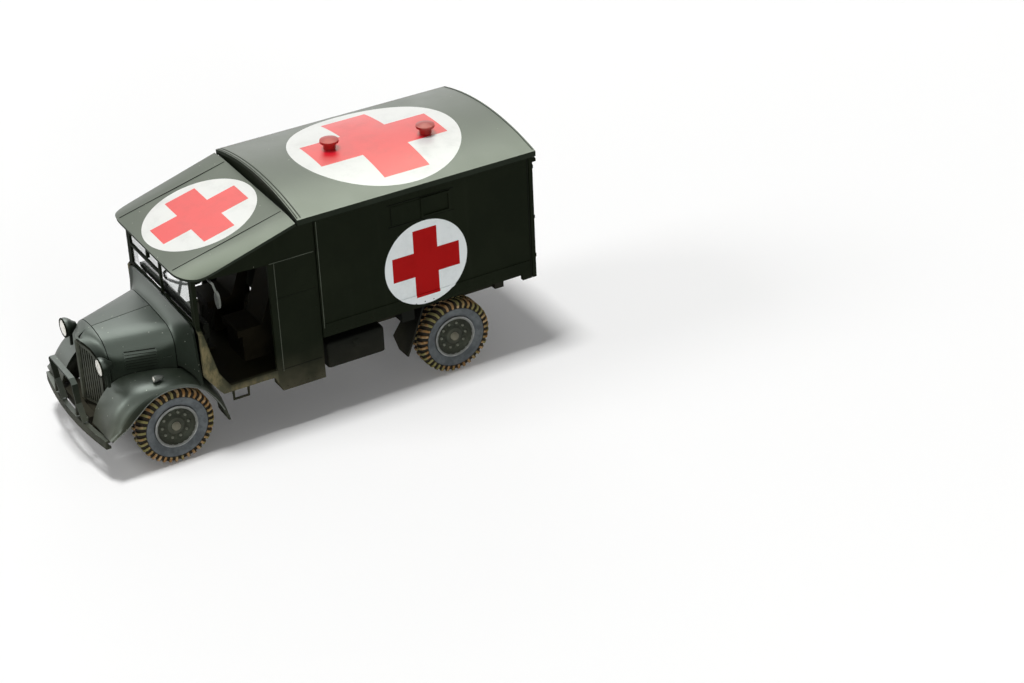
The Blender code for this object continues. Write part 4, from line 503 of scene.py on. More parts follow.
corners = ("front_left", "front_right", "rear_left", "rear_right")
wheelMark = {
    # rings from the hub outwards: the radius each ends at, and its colour; the dark rings are painted shade,
    # the lighter hub face is a painted highlight, the hub cap is pale with dust, and the last ring is the pale
    # lip, rubbed metal with a painted highlight
    "rings": (
        (0.00105, (0.170, 0.160, 0.120)), (0.00125, (0.006, 0.006, 0.005)), (0.00205, (0.034, 0.036, 0.028)),
        (0.00240, (0.006, 0.006, 0.005)), (0.00400, (0.016, 0.018, 0.013)), (0.00475, (0.006, 0.006, 0.005)),
        (0.00600, (0.210, 0.215, 0.205)),
    ),
    "strength": 0.85,
    # the nut tops get a painted highlight, and the numbers after them lay patches of painted shade round and
    # between the nuts
    "nutFrom": 0.0027, "nutTo": 0.0039, "nutFace": 0.00135, "nutHighlight": (0.125, 0.130, 0.105),
    "nutShade": (0.0035, 0.0040, 0.0028), "nutShadeFrom": 0.0022, "nutShadeTo": 0.0047, "nutShadeScale": 1500.0,
    "nutShadeDetail": 3.0, "nutShadeRange": (0.44, 0.58),
}


def wheelPaint(corner):
    # the rim's lip is rubbed metal with a painted highlight, dark rings of painted shade outline the hub, the
    # nut tops carry a painted highlight with painted shade round them, and the hub cap is dusty, all by
    # distance from the axis
    centre = middleOf("tyre_" + corner)

    def rings(tree, place, along, colour):
        back = calc(tree, "SUBTRACT", along[1], centre.y)
        up = calc(tree, "SUBTRACT", along[2], centre.z)
        reach = reachOf(tree, back, up)
        ringColour = wheelMark["rings"][-1][1]
        for radius, inner in reversed(wheelMark["rings"][:-1]):
            ringColour = mixed(tree, calc(tree, "LESS_THAN", reach, radius), ringColour, inner)
        colour = mixed(tree, wheelMark["strength"], colour, ringColour)
        # painted shade: dark patches round and between the nuts
        ring = within(tree, reach, wheelMark["nutShadeFrom"], wheelMark["nutShadeTo"])
        nutShade = noise(tree, place, wheelMark["nutShadeScale"], wheelMark["nutShadeDetail"])
        nutShade = calc(tree, "MULTIPLY", ring, spread(tree, nutShade, *wheelMark["nutShadeRange"]))
        colour = mixed(tree, nutShade, colour, wheelMark["nutShade"])
        # painted highlight: the nut tops, which stand out from the disc face, are lighter
        out = calc(tree, "ABSOLUTE", calc(tree, "SUBTRACT", along[0], centre.x))
        ring = within(tree, reach, wheelMark["nutFrom"], wheelMark["nutTo"])
        nut = calc(tree, "MULTIPLY", calc(tree, "GREATER_THAN", out, wheelMark["nutFace"]), ring)
        return mixed(tree, nut, colour, wheelMark["nutHighlight"])
    return paintCoat("wheelPaint_" + corner, {
        "base": (0.0100, 0.0120, 0.0080), "faded": (0.026, 0.028, 0.020), "cloudScale": 420.0, "sheen": 0.35,
        "dustHigh": 0.030, "dustLow": -0.010, "dustShare": 0.30, "dustColour": (0.070, 0.066, 0.045),
    }, rings)


dress(["body_roof"], roofPaint)
dress(["cab_roof"], cabRoofPaint)
dress(["body_side_left", "body_side_right"], sidePaint)
dress(["cab_side_left", "cab_side_right"], cabSidePaint)
dress(["bonnet_left", "bonnet_right", "radiator_shell", "scuttle", "wing_front_left", "wing_front_right",
       "headlamp_left", "headlamp_right", "front_bumper", "radiator_guard"], curvedPaint)
dress(["body_front", "rear_door_left", "rear_door_right", "windscreen_frame", "step_left", "step_right"],
      bodyPaint)
dress(["mirror_left", "mirror_right", "sidelight_left", "sidelight_right"], greyPaint)
dress(["chassis_frame", "front_axle", "rear_axle", "engine_block", "propeller_shaft", "exhaust_pipe",
       "body_floor", "rear_step", "fuel_tank", "stowage_box", "mud_flap_left", "mud_flap_right"],
      chassisPaint)
dress(["cab_floor", "dashboard", "steering_wheel", "floor_levers"], cabinPaint)
dress(["seat_driver", "seat_passenger"], seatPaint)
dress(["roof_vent_front", "roof_vent_rear"], redPaint)
for corner in corners:
    dress(["wheel_disc_" + corner], wheelPaint(corner))
print("stage: paint")


# Radiator: dark core, and grille bars that catch a little light on their edges
grille = {
    "base": (0.013, 0.014, 0.010), "faded": (0.034, 0.035, 0.026), "sheen": 0.5, "rough": (0.45, 0.6),
    "cloudScale": 500.0,
}
core = {
    "finScale": 866.6667, "finDepth": 0.0001, "gap": (0.002, 0.002, 0.002), "fin": (0.012, 0.011, 0.009),
    "dust": (0.010, 0.009, 0.006), "dustScale": 300.0, "roughScale": 900.0, "rough": (0.3, 0.7, 0.6, 0.85),
}
dress(["radiator_grille"], paintCoat("grillePaint", grille))


def corePaint():
    paint, tree, shader = freshPaint("corePaint")
    place = placeOn(tree)
    fins = ribs(tree, place, "Z", core["finScale"])
    colour = mixed(tree, fins, core["gap"], core["fin"])
    colour = mixed(tree, noise(tree, place, core["dustScale"]), colour, core["dust"])
    plug(tree, colour, shader.inputs["Base Color"])
    rough = spread(tree, noise(tree, place, core["roughScale"]), *core["rough"])
    plug(tree, rough, shader.inputs["Roughness"])
    bumped(tree, shader, fins, core["finDepth"])
    return paint


dress(["radiator_core"], corePaint())
print("stage: radiator")


# Glass: thin clear plastic with faint smears
glassLook = {
    "tint": (0.94, 0.96, 0.955), "ior": 1.45, "rough": (0.4, 0.8, 0.01, 0.07),
    "smear": (0.80, 0.81, 0.79), "smearScale": (90.0, 90.0, 260.0), "smearDetail": 5.0,
    "smearRange": (0.5, 0.8, 0.0, 0.5),
}


def clearPlastic():
    paint, tree, shader = freshPaint("clearPlastic")
    place = placeOn(tree)
    smear = noise(tree, stretched(tree, place, glassLook["smearScale"]), 1.0, glassLook["smearDetail"])
    colour = mixed(tree, spread(tree, smear, *glassLook["smearRange"]), glassLook["tint"], glassLook["smear"])
    plug(tree, colour, shader.inputs["Base Color"])
    plug(tree, spread(tree, smear, *glassLook["rough"]), shader.inputs["Roughness"])
    shader.inputs["Transmission Weight"].default_value = 1.0
    shader.inputs["IOR"].default_value = glassLook["ior"]
    return paint


dress(["windscreen_glass", "rear_window_left", "rear_window_right"], clearPlastic())
print("stage: glass")


# Mesh helpers for the added pieces
def pieceFrom(name, bm, paint, body, smoothAngle=None):
    mesh = bpy.data.meshes.new(name)
    bmesh.ops.recalc_face_normals(bm, faces=bm.faces)
    bm.to_mesh(mesh)
    bm.free()
    piece = bpy.data.objects.new(name, mesh)
    bpy.context.scene.collection.objects.link(piece)
    mesh.materials.append(paint)
    if smoothAngle is not None:
        mesh.shade_smooth()
        mesh.set_sharp_from_angle(angle=math.radians(smoothAngle))
    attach(piece, body)
    return piece


def wire(name, paths, radius, paint, body="truck", closed=False):
    # round strips along their points, half sunk into what they lie on
    data = bpy.data.curves.new(name, "CURVE")
    data.dimensions = "3D"
    data.bevel_depth = radius
    data.bevel_resolution = 2
    data.use_fill_caps = True
    for path in paths:
        spline = data.splines.new("POLY")
        spline.points.add(len(path) - 1)
        for point, spot in zip(spline.points, path):
            point.co = (*spot, 1.0)
        spline.use_cyclic_u = closed
    piece = bpy.data.objects.new(name, data)
    bpy.context.scene.collection.objects.link(piece)
    data.materials.append(paint)
    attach(piece, body)


standOff = 0.01    # how far off a piece a feeler starts
acrossAxis, alongAxis, upAxis = Matrix.Identity(3)


def touch(name, start, direction):
    hit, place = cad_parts[name].ray_cast(Vector(start), Vector(direction))[:2]
    return place if hit else None


def dropped(name, x, back):
    # the top of a node below a place given from the front axle
    return touch(name, (x, back + frontAxle, highOf(name).z + standOff), (0.0, 0.0, -1.0))


def besideLeft(name, back, height):
    # the outer face of a left-hand node at a place and height
    return touch(name, (highOf(name).x + standOff, back + frontAxle, height), (-1.0, 0.0, 0.0))


def stations(start, end, count):
    return [start + (end - start) * step / (count - 1) for step in range(count)]


def found(spots):
    return [spot for spot in spots if spot]


def lineBeside(name, start, end, count):
    # points on a left-hand node's outer face, from one (back, height) to another
    backs, heights = (stations(start[index], end[index], count) for index in (0, 1))
    return found(besideLeft(name, back, height) for back, height in zip(backs, heights))


def circle(centre, radius, count, first):
    # points round a centre, in the upright plane that holds the first direction
    turns = [math.tau * step / count for step in range(count)]
    return [centre + (first * math.cos(turn) + upAxis * math.sin(turn)) * radius for turn in turns]


def flipped(path):
    return [Vector((-spot.x, spot.y, spot.z)) for spot in path]


def mirroredPaths(paths):
    return paths + [flipped(path) for path in paths]


# Tyres: bar tread that wraps the shoulders, with dust on the bars and dark grooves between
tyreLook = {
    "bars": 36,
    "phases": ((0.00, 0.0), (0.08, 1.0), (0.44, 1.0), (0.52, 0.0)),
    "slant": 0.55,
    "groove": 0.00042,
    "bead": 0.0055,
    "beadHalf": 0.0021,
    "shoulder": 0.0011,
    "barFrom": 0.00795,
    "wallSteps": 7,
    "shoulderSteps": 4,
    "treadSteps": 3,
    "ridge": 0.00007,
    "ridgeFrom": 0.0068,
    "barSlack": 0.00001,
    "barFade": (0.0004, 0.0001),
    "middleShift": 0.25,
    "farShift": 0.5,
    "smooth": 40,
    "wall": (0.108, 0.120, 0.124),
    "wallDark": (0.066, 0.074, 0.078),
    "wallScale": 420.0,
    "wallRange": (0.35, 0.7),
    "bar": (0.200, 0.105, 0.034),
    "barPale": (0.340, 0.240, 0.130),
    "paleScale": 700.0,
    "paleRange": (0.4, 0.65),
    "barGreen": (0.150, 0.150, 0.055),
    "greenScale": 260.0,
    "greenDetail": 2.0,
    "greenRange": (0.45, 0.58, 0.0, 0.85),
    "grooveColour": (0.014, 0.011, 0.006),
    "grooveRange": (0.3, 0.8),
    "grainScale": 2600.0,
    "grainDetail": 3.0,
    "grainDepth": 0.00003,
    "rough": (0.3, 0.7, 0.75, 0.95),
    "sheen": 0.25,
}


def tyreSection(radius, half):
    # from the bead over the shoulder to the middle: radius, distance out, outward normal, groove share
    top, bead, shoulder = radius - tyreLook["shoulder"], tyreLook["bead"], tyreLook["shoulder"]
    line = []
    for step in range(tyreLook["wallSteps"] + 1):
        share = step / tyreLook["wallSteps"]
        reach = bead + (top - bead) * share
        out = tyreLook["beadHalf"] + (half - tyreLook["beadHalf"]) * math.sin(math.pi / 2 * share)
        if abs(reach - tyreLook["ridgeFrom"]) < (top - bead) / tyreLook["wallSteps"] / 2:
            out += tyreLook["ridge"]
        line.append((reach, out))
    for step in range(1, tyreLook["shoulderSteps"] + 1):
        angle = math.pi / 2 * step / tyreLook["shoulderSteps"]
        line.append((top + shoulder * math.sin(angle), half - shoulder * (1 - math.cos(angle))))
    edge = half - shoulder
    for step in range(1, tyreLook["treadSteps"] + 1):
        line.append((radius, edge * (1 - step / (tyreLook["treadSteps"] + 0.5))))
    rows = []
    for index, (reach, out) in enumerate(line):
        before, after = line[max(index - 1, 0)], line[min(index + 1, len(line) - 1)]
        run = Vector((after[0] - before[0], after[1] - before[1])).normalized()
        normal = Vector((-run.y, run.x))
        grooved = reach >= tyreLook["barFrom"] - tyreLook["barSlack"]
        rows.append((reach, out, normal, 1.0 if grooved else 0.0))
    return rows


def makeTyre(corner):
    node = "tyre_" + corner
    centre = middleOf(node)
    size = highOf(node) - lowOf(node)
    rows = tyreSection(size.z / 2, size.x / 2)
    bm = bmesh.new()
    barLayer = bm.verts.layers.float.new("bar")
    rings = []

    def ring(reach, out, normal, groove, side, shift):
        verts = []
        for bar in range(tyreLook["bars"]):
            for phase, height in tyreLook["phases"]:
                angle = math.tau * (bar + phase + shift) / tyreLook["bars"]
                sink = tyreLook["groove"] * groove * (1.0 - height)
                r, x = reach - normal.x * sink, (out - normal.y * sink) * side
                spot = Vector((x, r * math.cos(angle), r * math.sin(angle)))
                vert = bm.verts.new(centre + spot)
                vert[barLayer] = height * groove
                verts.append(vert)
        rings.append(verts)

    def lean(out):
        return tyreLook["slant"] * (1.0 - out / (size.x / 2))

    for reach, out, normal, groove in rows:
        ring(reach, out, normal, groove, 1, lean(out))
    middle = size.z / 2 - tyreLook["groove"]
    ring(middle, 0.0, Vector((1.0, 0.0)), 0.0, 1, lean(0.0) + tyreLook["middleShift"])
    for reach, out, normal, groove in reversed(rows):
        ring(reach, out, normal, groove, -1, 1.0 - lean(out) + tyreLook["farShift"])
    count = len(rings[0])
    for first, second in zip(rings, rings[1:] + rings[:1]):
        for step in range(count):
            after = (step + 1) % count
            bm.faces.new((first[step], first[after], second[after], second[step]))
    paint = tyrePaint(corner)
    piece = pieceFrom("tyreTread_" + corner, bm, paint, "wheel_" + corner, tyreLook["smooth"])
    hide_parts(node)


def tyrePaint(corner):
    centre = middleOf("tyre_" + corner)
    paint, tree, shader = freshPaint("tyrePaint_" + corner)
    place = placeOn(tree)
    along = axesOf(tree, place)
    back = calc(tree, "SUBTRACT", along[1], centre.y)
    up = calc(tree, "SUBTRACT", along[2], centre.z)
    cloud = spread(tree, noise(tree, place, tyreLook["wallScale"]), *tyreLook["wallRange"])
    wall = mixed(tree, cloud, tyreLook["wallDark"], tyreLook["wall"])
    pale = spread(tree, noise(tree, place, tyreLook["paleScale"]), *tyreLook["paleRange"])
    bars = mixed(tree, pale, tyreLook["bar"], tyreLook["barPale"])
    green = noise(tree, place, tyreLook["greenScale"], tyreLook["greenDetail"])
    bars = mixed(tree, spread(tree, green, *tyreLook["greenRange"]), bars, tyreLook["barGreen"])
    tread = tree.nodes.new("ShaderNodeAttribute")
    tread.attribute_name = "bar"
    raised = spread(tree, tread.outputs["Fac"], *tyreLook["grooveRange"])
    pattern = mixed(tree, raised, tyreLook["grooveColour"], bars)
    edge = [tyreLook["barFrom"] - fade for fade in tyreLook["barFade"]]
    outer = spread(tree, reachOf(tree, back, up), *edge)
    plug(tree, mixed(tree, outer, wall, pattern), shader.inputs["Base Color"])
    grain = noise(tree, place, tyreLook["grainScale"], tyreLook["grainDetail"])
    plug(tree, spread(tree, grain, *tyreLook["rough"]), shader.inputs["Roughness"])
    shader.inputs["Specular IOR Level"].default_value = tyreLook["sheen"]
    bumped(tree, shader, grain, tyreLook["grainDepth"])
    return paint


for corner in corners:
    makeTyre(corner)
print("stage: tyres")


# Bare metal: brighter and smoother where it is rubbed
metalLook = {
    "scale": 400.0, "range": (0.35, 0.7), "dark": 0.45, "roughDark": 0.1, "roughSpan": 0.15, "metal": 0.6,
    "grainScale": 1200.0, "grainDepth": 0.00002,
}


def metalPaint(name, colour, rough):
    paint, tree, shader = freshPaint(name)
    place = placeOn(tree)
    worn = spread(tree, noise(tree, place, metalLook["scale"]), *metalLook["range"])
    plug(tree, mixed(tree, worn, shaded(colour, metalLook["dark"]), colour), shader.inputs["Base Color"])
    dull = rough + metalLook["roughDark"]
    rubbed = calc(tree, "ADD", calc(tree, "MULTIPLY", worn, -metalLook["roughSpan"]), dull)
    plug(tree, rubbed, shader.inputs["Roughness"])
    shader.inputs["Metallic"].default_value = metalLook["metal"]
    bumped(tree, shader, noise(tree, place, metalLook["grainScale"]), metalLook["grainDepth"])
    return paint


# Wheels: the bright rolled lip of each rim
rimLook = {
    "radius": 0.00528, "wire": 0.00013, "points": 64, "inset": 0.00010, "colour": (0.34, 0.35, 0.34),
    "rough": 0.35,
}
rimPaint = metalPaint("rimPaint", rimLook["colour"], rimLook["rough"])


def makeRim(corner):
    centre = middleOf("tyre_" + corner)
    side = 1 if "left" in corner else -1
    face = highOf("wheel_disc_" + corner).x if side > 0 else lowOf("wheel_disc_" + corner).x
    hub = Vector((face - side * rimLook["inset"], centre.y, centre.z))
    lip = circle(hub, rimLook["radius"], rimLook["points"], alongAxis)
    wire("rimLip_" + corner, [lip], rimLook["wire"], rimPaint, "wheel_" + corner, True)


for corner in corners:
    makeRim(corner)
print("stage: rims")


# Lamps: silvered lenses of the headlamps, in their bezels, and of the sidelights
lampLook = {
    "lensShare": 0.86, "bulge": 0.00035, "bezelWire": 0.00022, "lensSteps": 28, "lensRings": 6, "smooth": 50,
    "bezelShare": 0.93, "bezelPoints": 32, "sideShare": 0.8, "sideBulge": 0.0002,
    "silver": (0.80, 0.78, 0.70), "silverMetal": 0.35, "red": (0.20, 0.008, 0.008),
    "ribScale": 433.3333, "ribDepth": 0.00003, "ribStrength": 0.4, "coat": 0.6,
    "dirtScale": 600.0, "dirtRange": (0.45, 0.8, 0.0, 0.5), "dirtShade": 0.55,
    "rough": (0.0, 0.5, 0.12, 0.35),
}


def lensPaint(name, colour, metal):
    paint, tree, shader = freshPaint(name)
    place = placeOn(tree)
    dirt = spread(tree, noise(tree, place, lampLook["dirtScale"]), *lampLook["dirtRange"])
    plug(tree, mixed(tree, dirt, colour, shaded(colour, lampLook["dirtShade"])), shader.inputs["Base Color"])
    plug(tree, spread(tree, dirt, *lampLook["rough"]), shader.inputs["Roughness"])
    shader.inputs["Metallic"].default_value = metal
    shader.inputs["Coat Weight"].default_value = lampLook["coat"]
    lines = ribs(tree, place, "X", lampLook["ribScale"])
    bumped(tree, shader, lines, lampLook["ribDepth"], lampLook["ribStrength"])
    return paint


def makeDome(name, centre, forward, radius, bulge, paint, stretch=1.0):
    # a shallow cap whose rim stands at its centre's plane; forward is -1 or 1 along Y
    bm = bmesh.new()
    steps, count = lampLook["lensSteps"], lampLook["lensRings"]
    tip = bm.verts.new(centre + Vector((0.0, forward * bulge, 0.0)))
    rings = []
    for index in range(1, count + 1):
        angle = math.pi / 2 * index / count
        ring = []
        for step in range(steps):
            turn = math.tau * step / steps
            ring.append(bm.verts.new(centre + Vector((
                radius * math.sin(angle) * math.cos(turn), forward * bulge * math.cos(angle),
                radius * stretch * math.sin(angle) * math.sin(turn)))))
        rings.append(ring)
    for step in range(steps):
        after = (step + 1) % steps
        bm.faces.new((tip, rings[0][step], rings[0][after]))
        for inner, outer in zip(rings, rings[1:]):
            bm.faces.new((inner[step], outer[step], outer[after], inner[after]))
    bm.faces.new(rings[-1])
    pieceFrom(name, bm, paint, "truck", lampLook["smooth"])


silverLens = lensPaint("silverLens", lampLook["silver"], lampLook["silverMetal"])
darkRed = lensPaint("redLens", lampLook["red"], 0.0)


def makeLenses():
    for side in ("left", "right"):
        low, high = lowOf("headlamp_" + side), highOf("headlamp_" + side)
        radius = (high.x - low.x) / 2
        centre = Vector(((low.x + high.x) / 2, low.y, high.z - radius))
        lens = radius * lampLook["lensShare"]
        makeDome("lampLens_" + side, centre, -1, lens, lampLook["bulge"], silverLens)
        bezel = circle(centre, radius * lampLook["bezelShare"], lampLook["bezelPoints"], acrossAxis)
        wire("lampBezel_" + side, [bezel], lampLook["bezelWire"], bodyPaint, closed=True)
        low, high = lowOf("sidelight_" + side), highOf("sidelight_" + side)
        small = Vector(((low.x + high.x) / 2, low.y, (low.z + high.z) / 2))
        lens = (high.x - low.x) / 2 * lampLook["sideShare"]
        makeDome("sideLens_" + side, small, -1, lens, lampLook["sideBulge"], silverLens)


makeLenses()
print("stage: lamps")


# Mirrors: silvered oval faces towards the driver
mirrorLook = {
    "radius": 0.00115, "halfHeight": 0.0020, "depth": 0.00006, "inset": 0.0013, "lift": 0.0022,
    "colour": (0.70, 0.72, 0.73), "rough": 0.08,
}


def makeMirrors():
    glass = metalPaint("mirrorSilver", mirrorLook["colour"], mirrorLook["rough"])
    for side, sign in (("left", 1), ("right", -1)):
        low, high = lowOf("mirror_" + side), highOf("mirror_" + side)
        out = high.x if sign > 0 else low.x
        centre = Vector((out - sign * mirrorLook["inset"], high.y, low.z + mirrorLook["lift"]))
        stretch = mirrorLook["halfHeight"] / mirrorLook["radius"]
        makeDome("mirrorGlass_" + side, centre, 1, mirrorLook["radius"], mirrorLook["depth"], glass, stretch)


makeMirrors()
print("stage: mirrors")


# Panel lines: dark scribed seams and raised beads, laid on the surfaces that carry them; the paler beads are a
# painted highlight
lines = {
    "seam": 0.000075,
    "bead": 0.00016,
    "cabSeamX": 0.0156,
    "cabSeam": (0.0052, 0.0331, 24),
    "roofBeads": (0.00035, 0.00115),
    "beadX": (-0.0218, 0.0218, 40),
    "rearBead": 0.0004,
    "sidePoints": 12,
}


def makeRoofLines():
    seams = [found(dropped("cab_roof", x, back) for back in stations(*lines["cabSeam"]))
             for x in (-lines["cabSeamX"], lines["cabSeamX"])]
    wire("cabRoofSeams", seams, lines["seam"], seamPaint)
    front, rear = lowOf("body_roof").y - frontAxle, highOf("body_roof").y - frontAxle

    def acrossRoof(back):
        return found(dropped("body_roof", x, back) for x in stations(*lines["beadX"]))

    beads = [acrossRoof(front + offset) for offset in lines["roofBeads"]]
    wire("roofFrontBeads", beads, lines["bead"], edgeHighlightPaint)
    wire("roofRearBead", [acrossRoof(rear - lines["rearBead"])], lines["bead"], edgeHighlightPaint)


sideLines = {
    # node, from (back, height), to (back, height), radius, paint
    # the edge paint is a painted highlight on beads and posts, and the seam paint is dark
    "frontBead": ("body_side_left", (0.0388, 0.0242), (0.0388, 0.0524), 0.00012, "edge"),
    "rearPost": ("body_side_left", (0.0951, 0.0208), (0.0951, 0.0524), 0.00012, "seam"),
    "hatchRail": ("body_side_left", (0.0572, 0.0509), (0.0748, 0.0509), 0.00012, "seam"),
    "hatchSill": ("body_side_left", (0.0572, 0.0451), (0.0748, 0.0451), 0.00012, "seam"),
    "hatchEdge": ("body_side_left", (0.0581, 0.0454), (0.0581, 0.0506), 0.00008, "seam"),
    "doorPost": ("cab_side_left", (0.0276, 0.0160), (0.0276, 0.0446), 0.00010, "edge"),
    "cheekRail": ("cab_side_left", (0.0264, 0.0449), (0.0378, 0.0449), 0.00012, "edge"),
    "lockerTop": ("cab_side_left", (0.0272, 0.0165), (0.0378, 0.0165), 0.00009, "seam"),
    "lockerSeam": ("cab_side_left", (0.0272, 0.0354), (0.0378, 0.0354), 0.00006, "seam"),
}


def makeSideLines():
    paints = {"edge": edgeHighlightPaint, "seam": seamPaint}
    for name, (node, start, end, radius, paint) in sideLines.items():
        path = lineBeside(node, start, end, lines["sidePoints"])
        wire("line_" + name, mirroredPaths([path]), radius, paints[paint])


# Cab joint: a dark sealing strip fills the narrow slot between the cab and the box body
cabJoint = {"x": 0.0210, "foot": 0.0226, "top": 0.0530, "radius": 0.00014}


def makeCabJoint():
    middle = (highOf("cab_side_left").y + lowOf("body_side_left").y) / 2
    path = [Vector((cabJoint["x"], middle, height)) for height in (cabJoint["foot"], cabJoint["top"])]
    wire("cabJoint", mirroredPaths([path]), cabJoint["radius"], seamPaint)


makeRoofLines()
makeSideLines()
makeCabJoint()
print("stage: panel lines")


# Rivets along the box sides and on the lockers of the cab sides
rivetRows = [
    # each row runs from one place to another, and a place is (back from the front axle, height)
    {"node": "body_side_left", "start": (0.0396, 0.0229), "end": (0.0940, 0.0229), "count": 24},
    {"node": "body_side_left", "start": (0.0396, 0.0520), "end": (0.0940, 0.0520), "count": 24},
    {"node": "cab_side_left", "start": (0.0282, 0.0118), "end": (0.0372, 0.0118), "count": 6},
    {"node": "cab_side_left", "start": (0.0329, 0.0170), "end": (0.0329, 0.0440), "count": 11},
    {"node": "cab_side_left", "start": (0.0374, 0.0170), "end": (0.0374, 0.0440), "count": 11},
]
rivetLook = {"radius": 0.00016, "rings": 4, "steps": 8, "flat": 0.6, "smooth": 60}


def makeRivets():
    bm = bmesh.new()
    flatten = Matrix.Diagonal((rivetLook["flat"], 1.0, 1.0, 1.0))
    for row in rivetRows:
        for spot in lineBeside(row["node"], row["start"], row["end"], row["count"]):
            for sign in (1, -1):
                place = Matrix.Translation((sign * spot.x, spot.y, spot.z)) @ flatten
                bmesh.ops.create_uvsphere(bm, u_segments=rivetLook["steps"], v_segments=rivetLook["rings"],
                                          radius=rivetLook["radius"], matrix=place)
    pieceFrom("sideRivets", bm, bodyPaint, "truck", rivetLook["smooth"])


makeRivets()
print("stage: rivets")


# Cab: three dials on the dashboard, before the driver on the right
dials = {
    "x": (-0.0115, -0.0085, -0.0055), "radius": (0.0007, 0.0011, 0.0007), "height": 0.0310, "ring": 0.00012,
    "face": 0.9, "bulge": 0.00008, "points": 20,
}


def makeDials():
    rims = []
    for x, radius in zip(dials["x"], dials["radius"]):
        centre = Vector((x, highOf("dashboard").y, dials["height"]))
        rims.append(circle(centre, radius, dials["points"], acrossAxis))
        face = radius * dials["face"]
        makeDome("dial_%d" % round(-x * 10000), centre, 1, face, dials["bulge"], silverLens)
    wire("dialRims", rims, dials["ring"], greyPaint, closed=True)


makeDials()
print("stage: cab")


# Tail lamps: dark red lenses on the rear doors' upper corners
tailLamps = {"x": 0.02085, "height": 0.0515, "radius": 0.0005, "bulge": 0.00015}


def makeTailLenses():
    for side, sign in (("left", 1), ("right", -1)):
        door, x = "rear_door_" + side, sign * tailLamps["x"]
        behind = highOf(door).y
        skin = touch(door, (x, behind + standOff, tailLamps["height"]), (0.0, -1.0, 0.0))
        back = min(skin.y if skin else behind, behind - tailLamps["bulge"])
        spot = Vector((x, back, tailLamps["height"]))
        makeDome("tailLens_" + side, spot, 1, tailLamps["radius"], tailLamps["bulge"], darkRed)


makeTailLenses()
print("stage: tail lamps")


# Under the nose: a bulkhead behind the bonnet, inner wings down to the frame and an apron behind the bumper
nose = {
    "shell": 0.00075, "bulkheadDepth": 0.0009, "archSteps": 24, "archHeight": 0.0190,
    "wingFront": -0.0158, "wingRear": 0.0002, "wingSteps": 18, "wingFoot": 0.0118, "wingGap": 0.0004,
    "wingCover": 0.0009, "thick": 0.00025, "smooth": 40,
    # the apron's rows: back from the front axle, height, half width
    "apron": ((-0.0100, 0.0128, 0.0088), (-0.0122, 0.0120, 0.0092), (-0.0132, 0.0115, 0.0140),
              (-0.0164, 0.0096, 0.0165)),
}


def makeBulkhead():
    # one flat dark sheet whose arch follows the bonnet's inner face
    rear = highOf("bonnet_left").y
    centre = Vector((0.0, rear - nose["shell"], nose["archHeight"]))
    arch = []
    for angle in stations(0.0, math.pi / 2, nose["archSteps"]):
        aim = Vector((math.cos(angle), 0.0, math.sin(angle)))
        start = centre + Vector((nose["thick"], 0.0, 0.0))
        inner = touch("bonnet_left", start, aim)
        if inner:
            arch.append(inner - aim * nose["thick"] / 4)
    arch = [Vector((arch[0].x, 0.0, lowOf("bonnet_left").z))] + arch
    arch += flipped(reversed(arch))
    bm = bmesh.new()
    loops = []
    for depth in (-nose["bulkheadDepth"], nose["bulkheadDepth"]):
        loops.append([bm.verts.new((spot.x, rear + depth, spot.z)) for spot in arch])
    bm.faces.new(loops[0])
    bm.faces.new(reversed(loops[1]))
    for step in range(len(arch)):
        after = (step + 1) % len(arch)
        bm.faces.new((loops[0][step], loops[0][after], loops[1][after], loops[1][step]))
    pieceFrom("bulkhead", bm, cabinPaint, "truck")


def ribbon(name, rows, paint):
    # a thin sheet through rows of points
    bm = bmesh.new()
    made = [[bm.verts.new(spot) for spot in row] for row in rows]
    for first, second in zip(made, made[1:]):
        for step in range(len(first) - 1):
            bm.faces.new((first[step], first[step + 1], second[step + 1], second[step]))
    piece = pieceFrom(name, bm, paint, "truck", nose["smooth"])
    solid = piece.modifiers.new("thickness", "SOLIDIFY")
    solid.thickness = nose["thick"]
    solid.offset = 0.0


def makeInnerWings():
    rows = []
    for back in stations(nose["wingFront"], nose["wingRear"], nose["wingSteps"]):
        along = max(back, lowOf("bonnet_left").y - frontAxle + nose["thick"])
        side = besideLeft("bonnet_left", along, nose["archHeight"])
        x = side.x + nose["wingGap"]
        cover = dropped("wing_front_left", x + nose["wingGap"], back)
        if cover:
            top = max(cover.z - nose["wingCover"], nose["wingFoot"] + nose["thick"])
            rows.append([Vector((x, cover.y, nose["wingFoot"])), Vector((x, cover.y, top))])
    ribbon("innerWing_left", rows, chassisPaint)
    ribbon("innerWing_right", [flipped(row) for row in rows], chassisPaint)
    rows = [[Vector((side * half, back + frontAxle, height)) for side in (-1, 1)]
            for back, height, half in nose["apron"]]
    ribbon("noseApron", rows, chassisPaint)


# Louvres: painted shadow, a dark line in the shade under each pressed rib
louvres = {
    "front": -0.0070, "rear": -0.0001, "foot": 0.02290, "pitch": 0.00070, "gap": 0.000175, "count": 7,
    # slot is the radius of each painted shadow line
    "slot": 0.00011, "points": 8, "proud": 0.00022,
}


def makeLouvres():
    # painted shadow: a dark line under each rib, set a little proud of the panel so that it shows
    shadowLines = []
    for number in range(louvres["count"]):
        height = louvres["foot"] + louvres["pitch"] * number - louvres["gap"] / 2
        path = lineBeside("bonnet_left", (louvres["front"], height), (louvres["rear"], height),
                          louvres["points"])
        shadowLines.append([spot + acrossAxis * louvres["proud"] for spot in path])
    wire("louvreShadowLines", mirroredPaths(shadowLines), louvres["slot"], seamPaint)


# Wing lips: a painted highlight, a light line along each wing's outer edge
wingLipHighlight = {"start": 12.0, "end": 176.0, "count": 40, "inset": 0.00012, "wire": 0.00013}


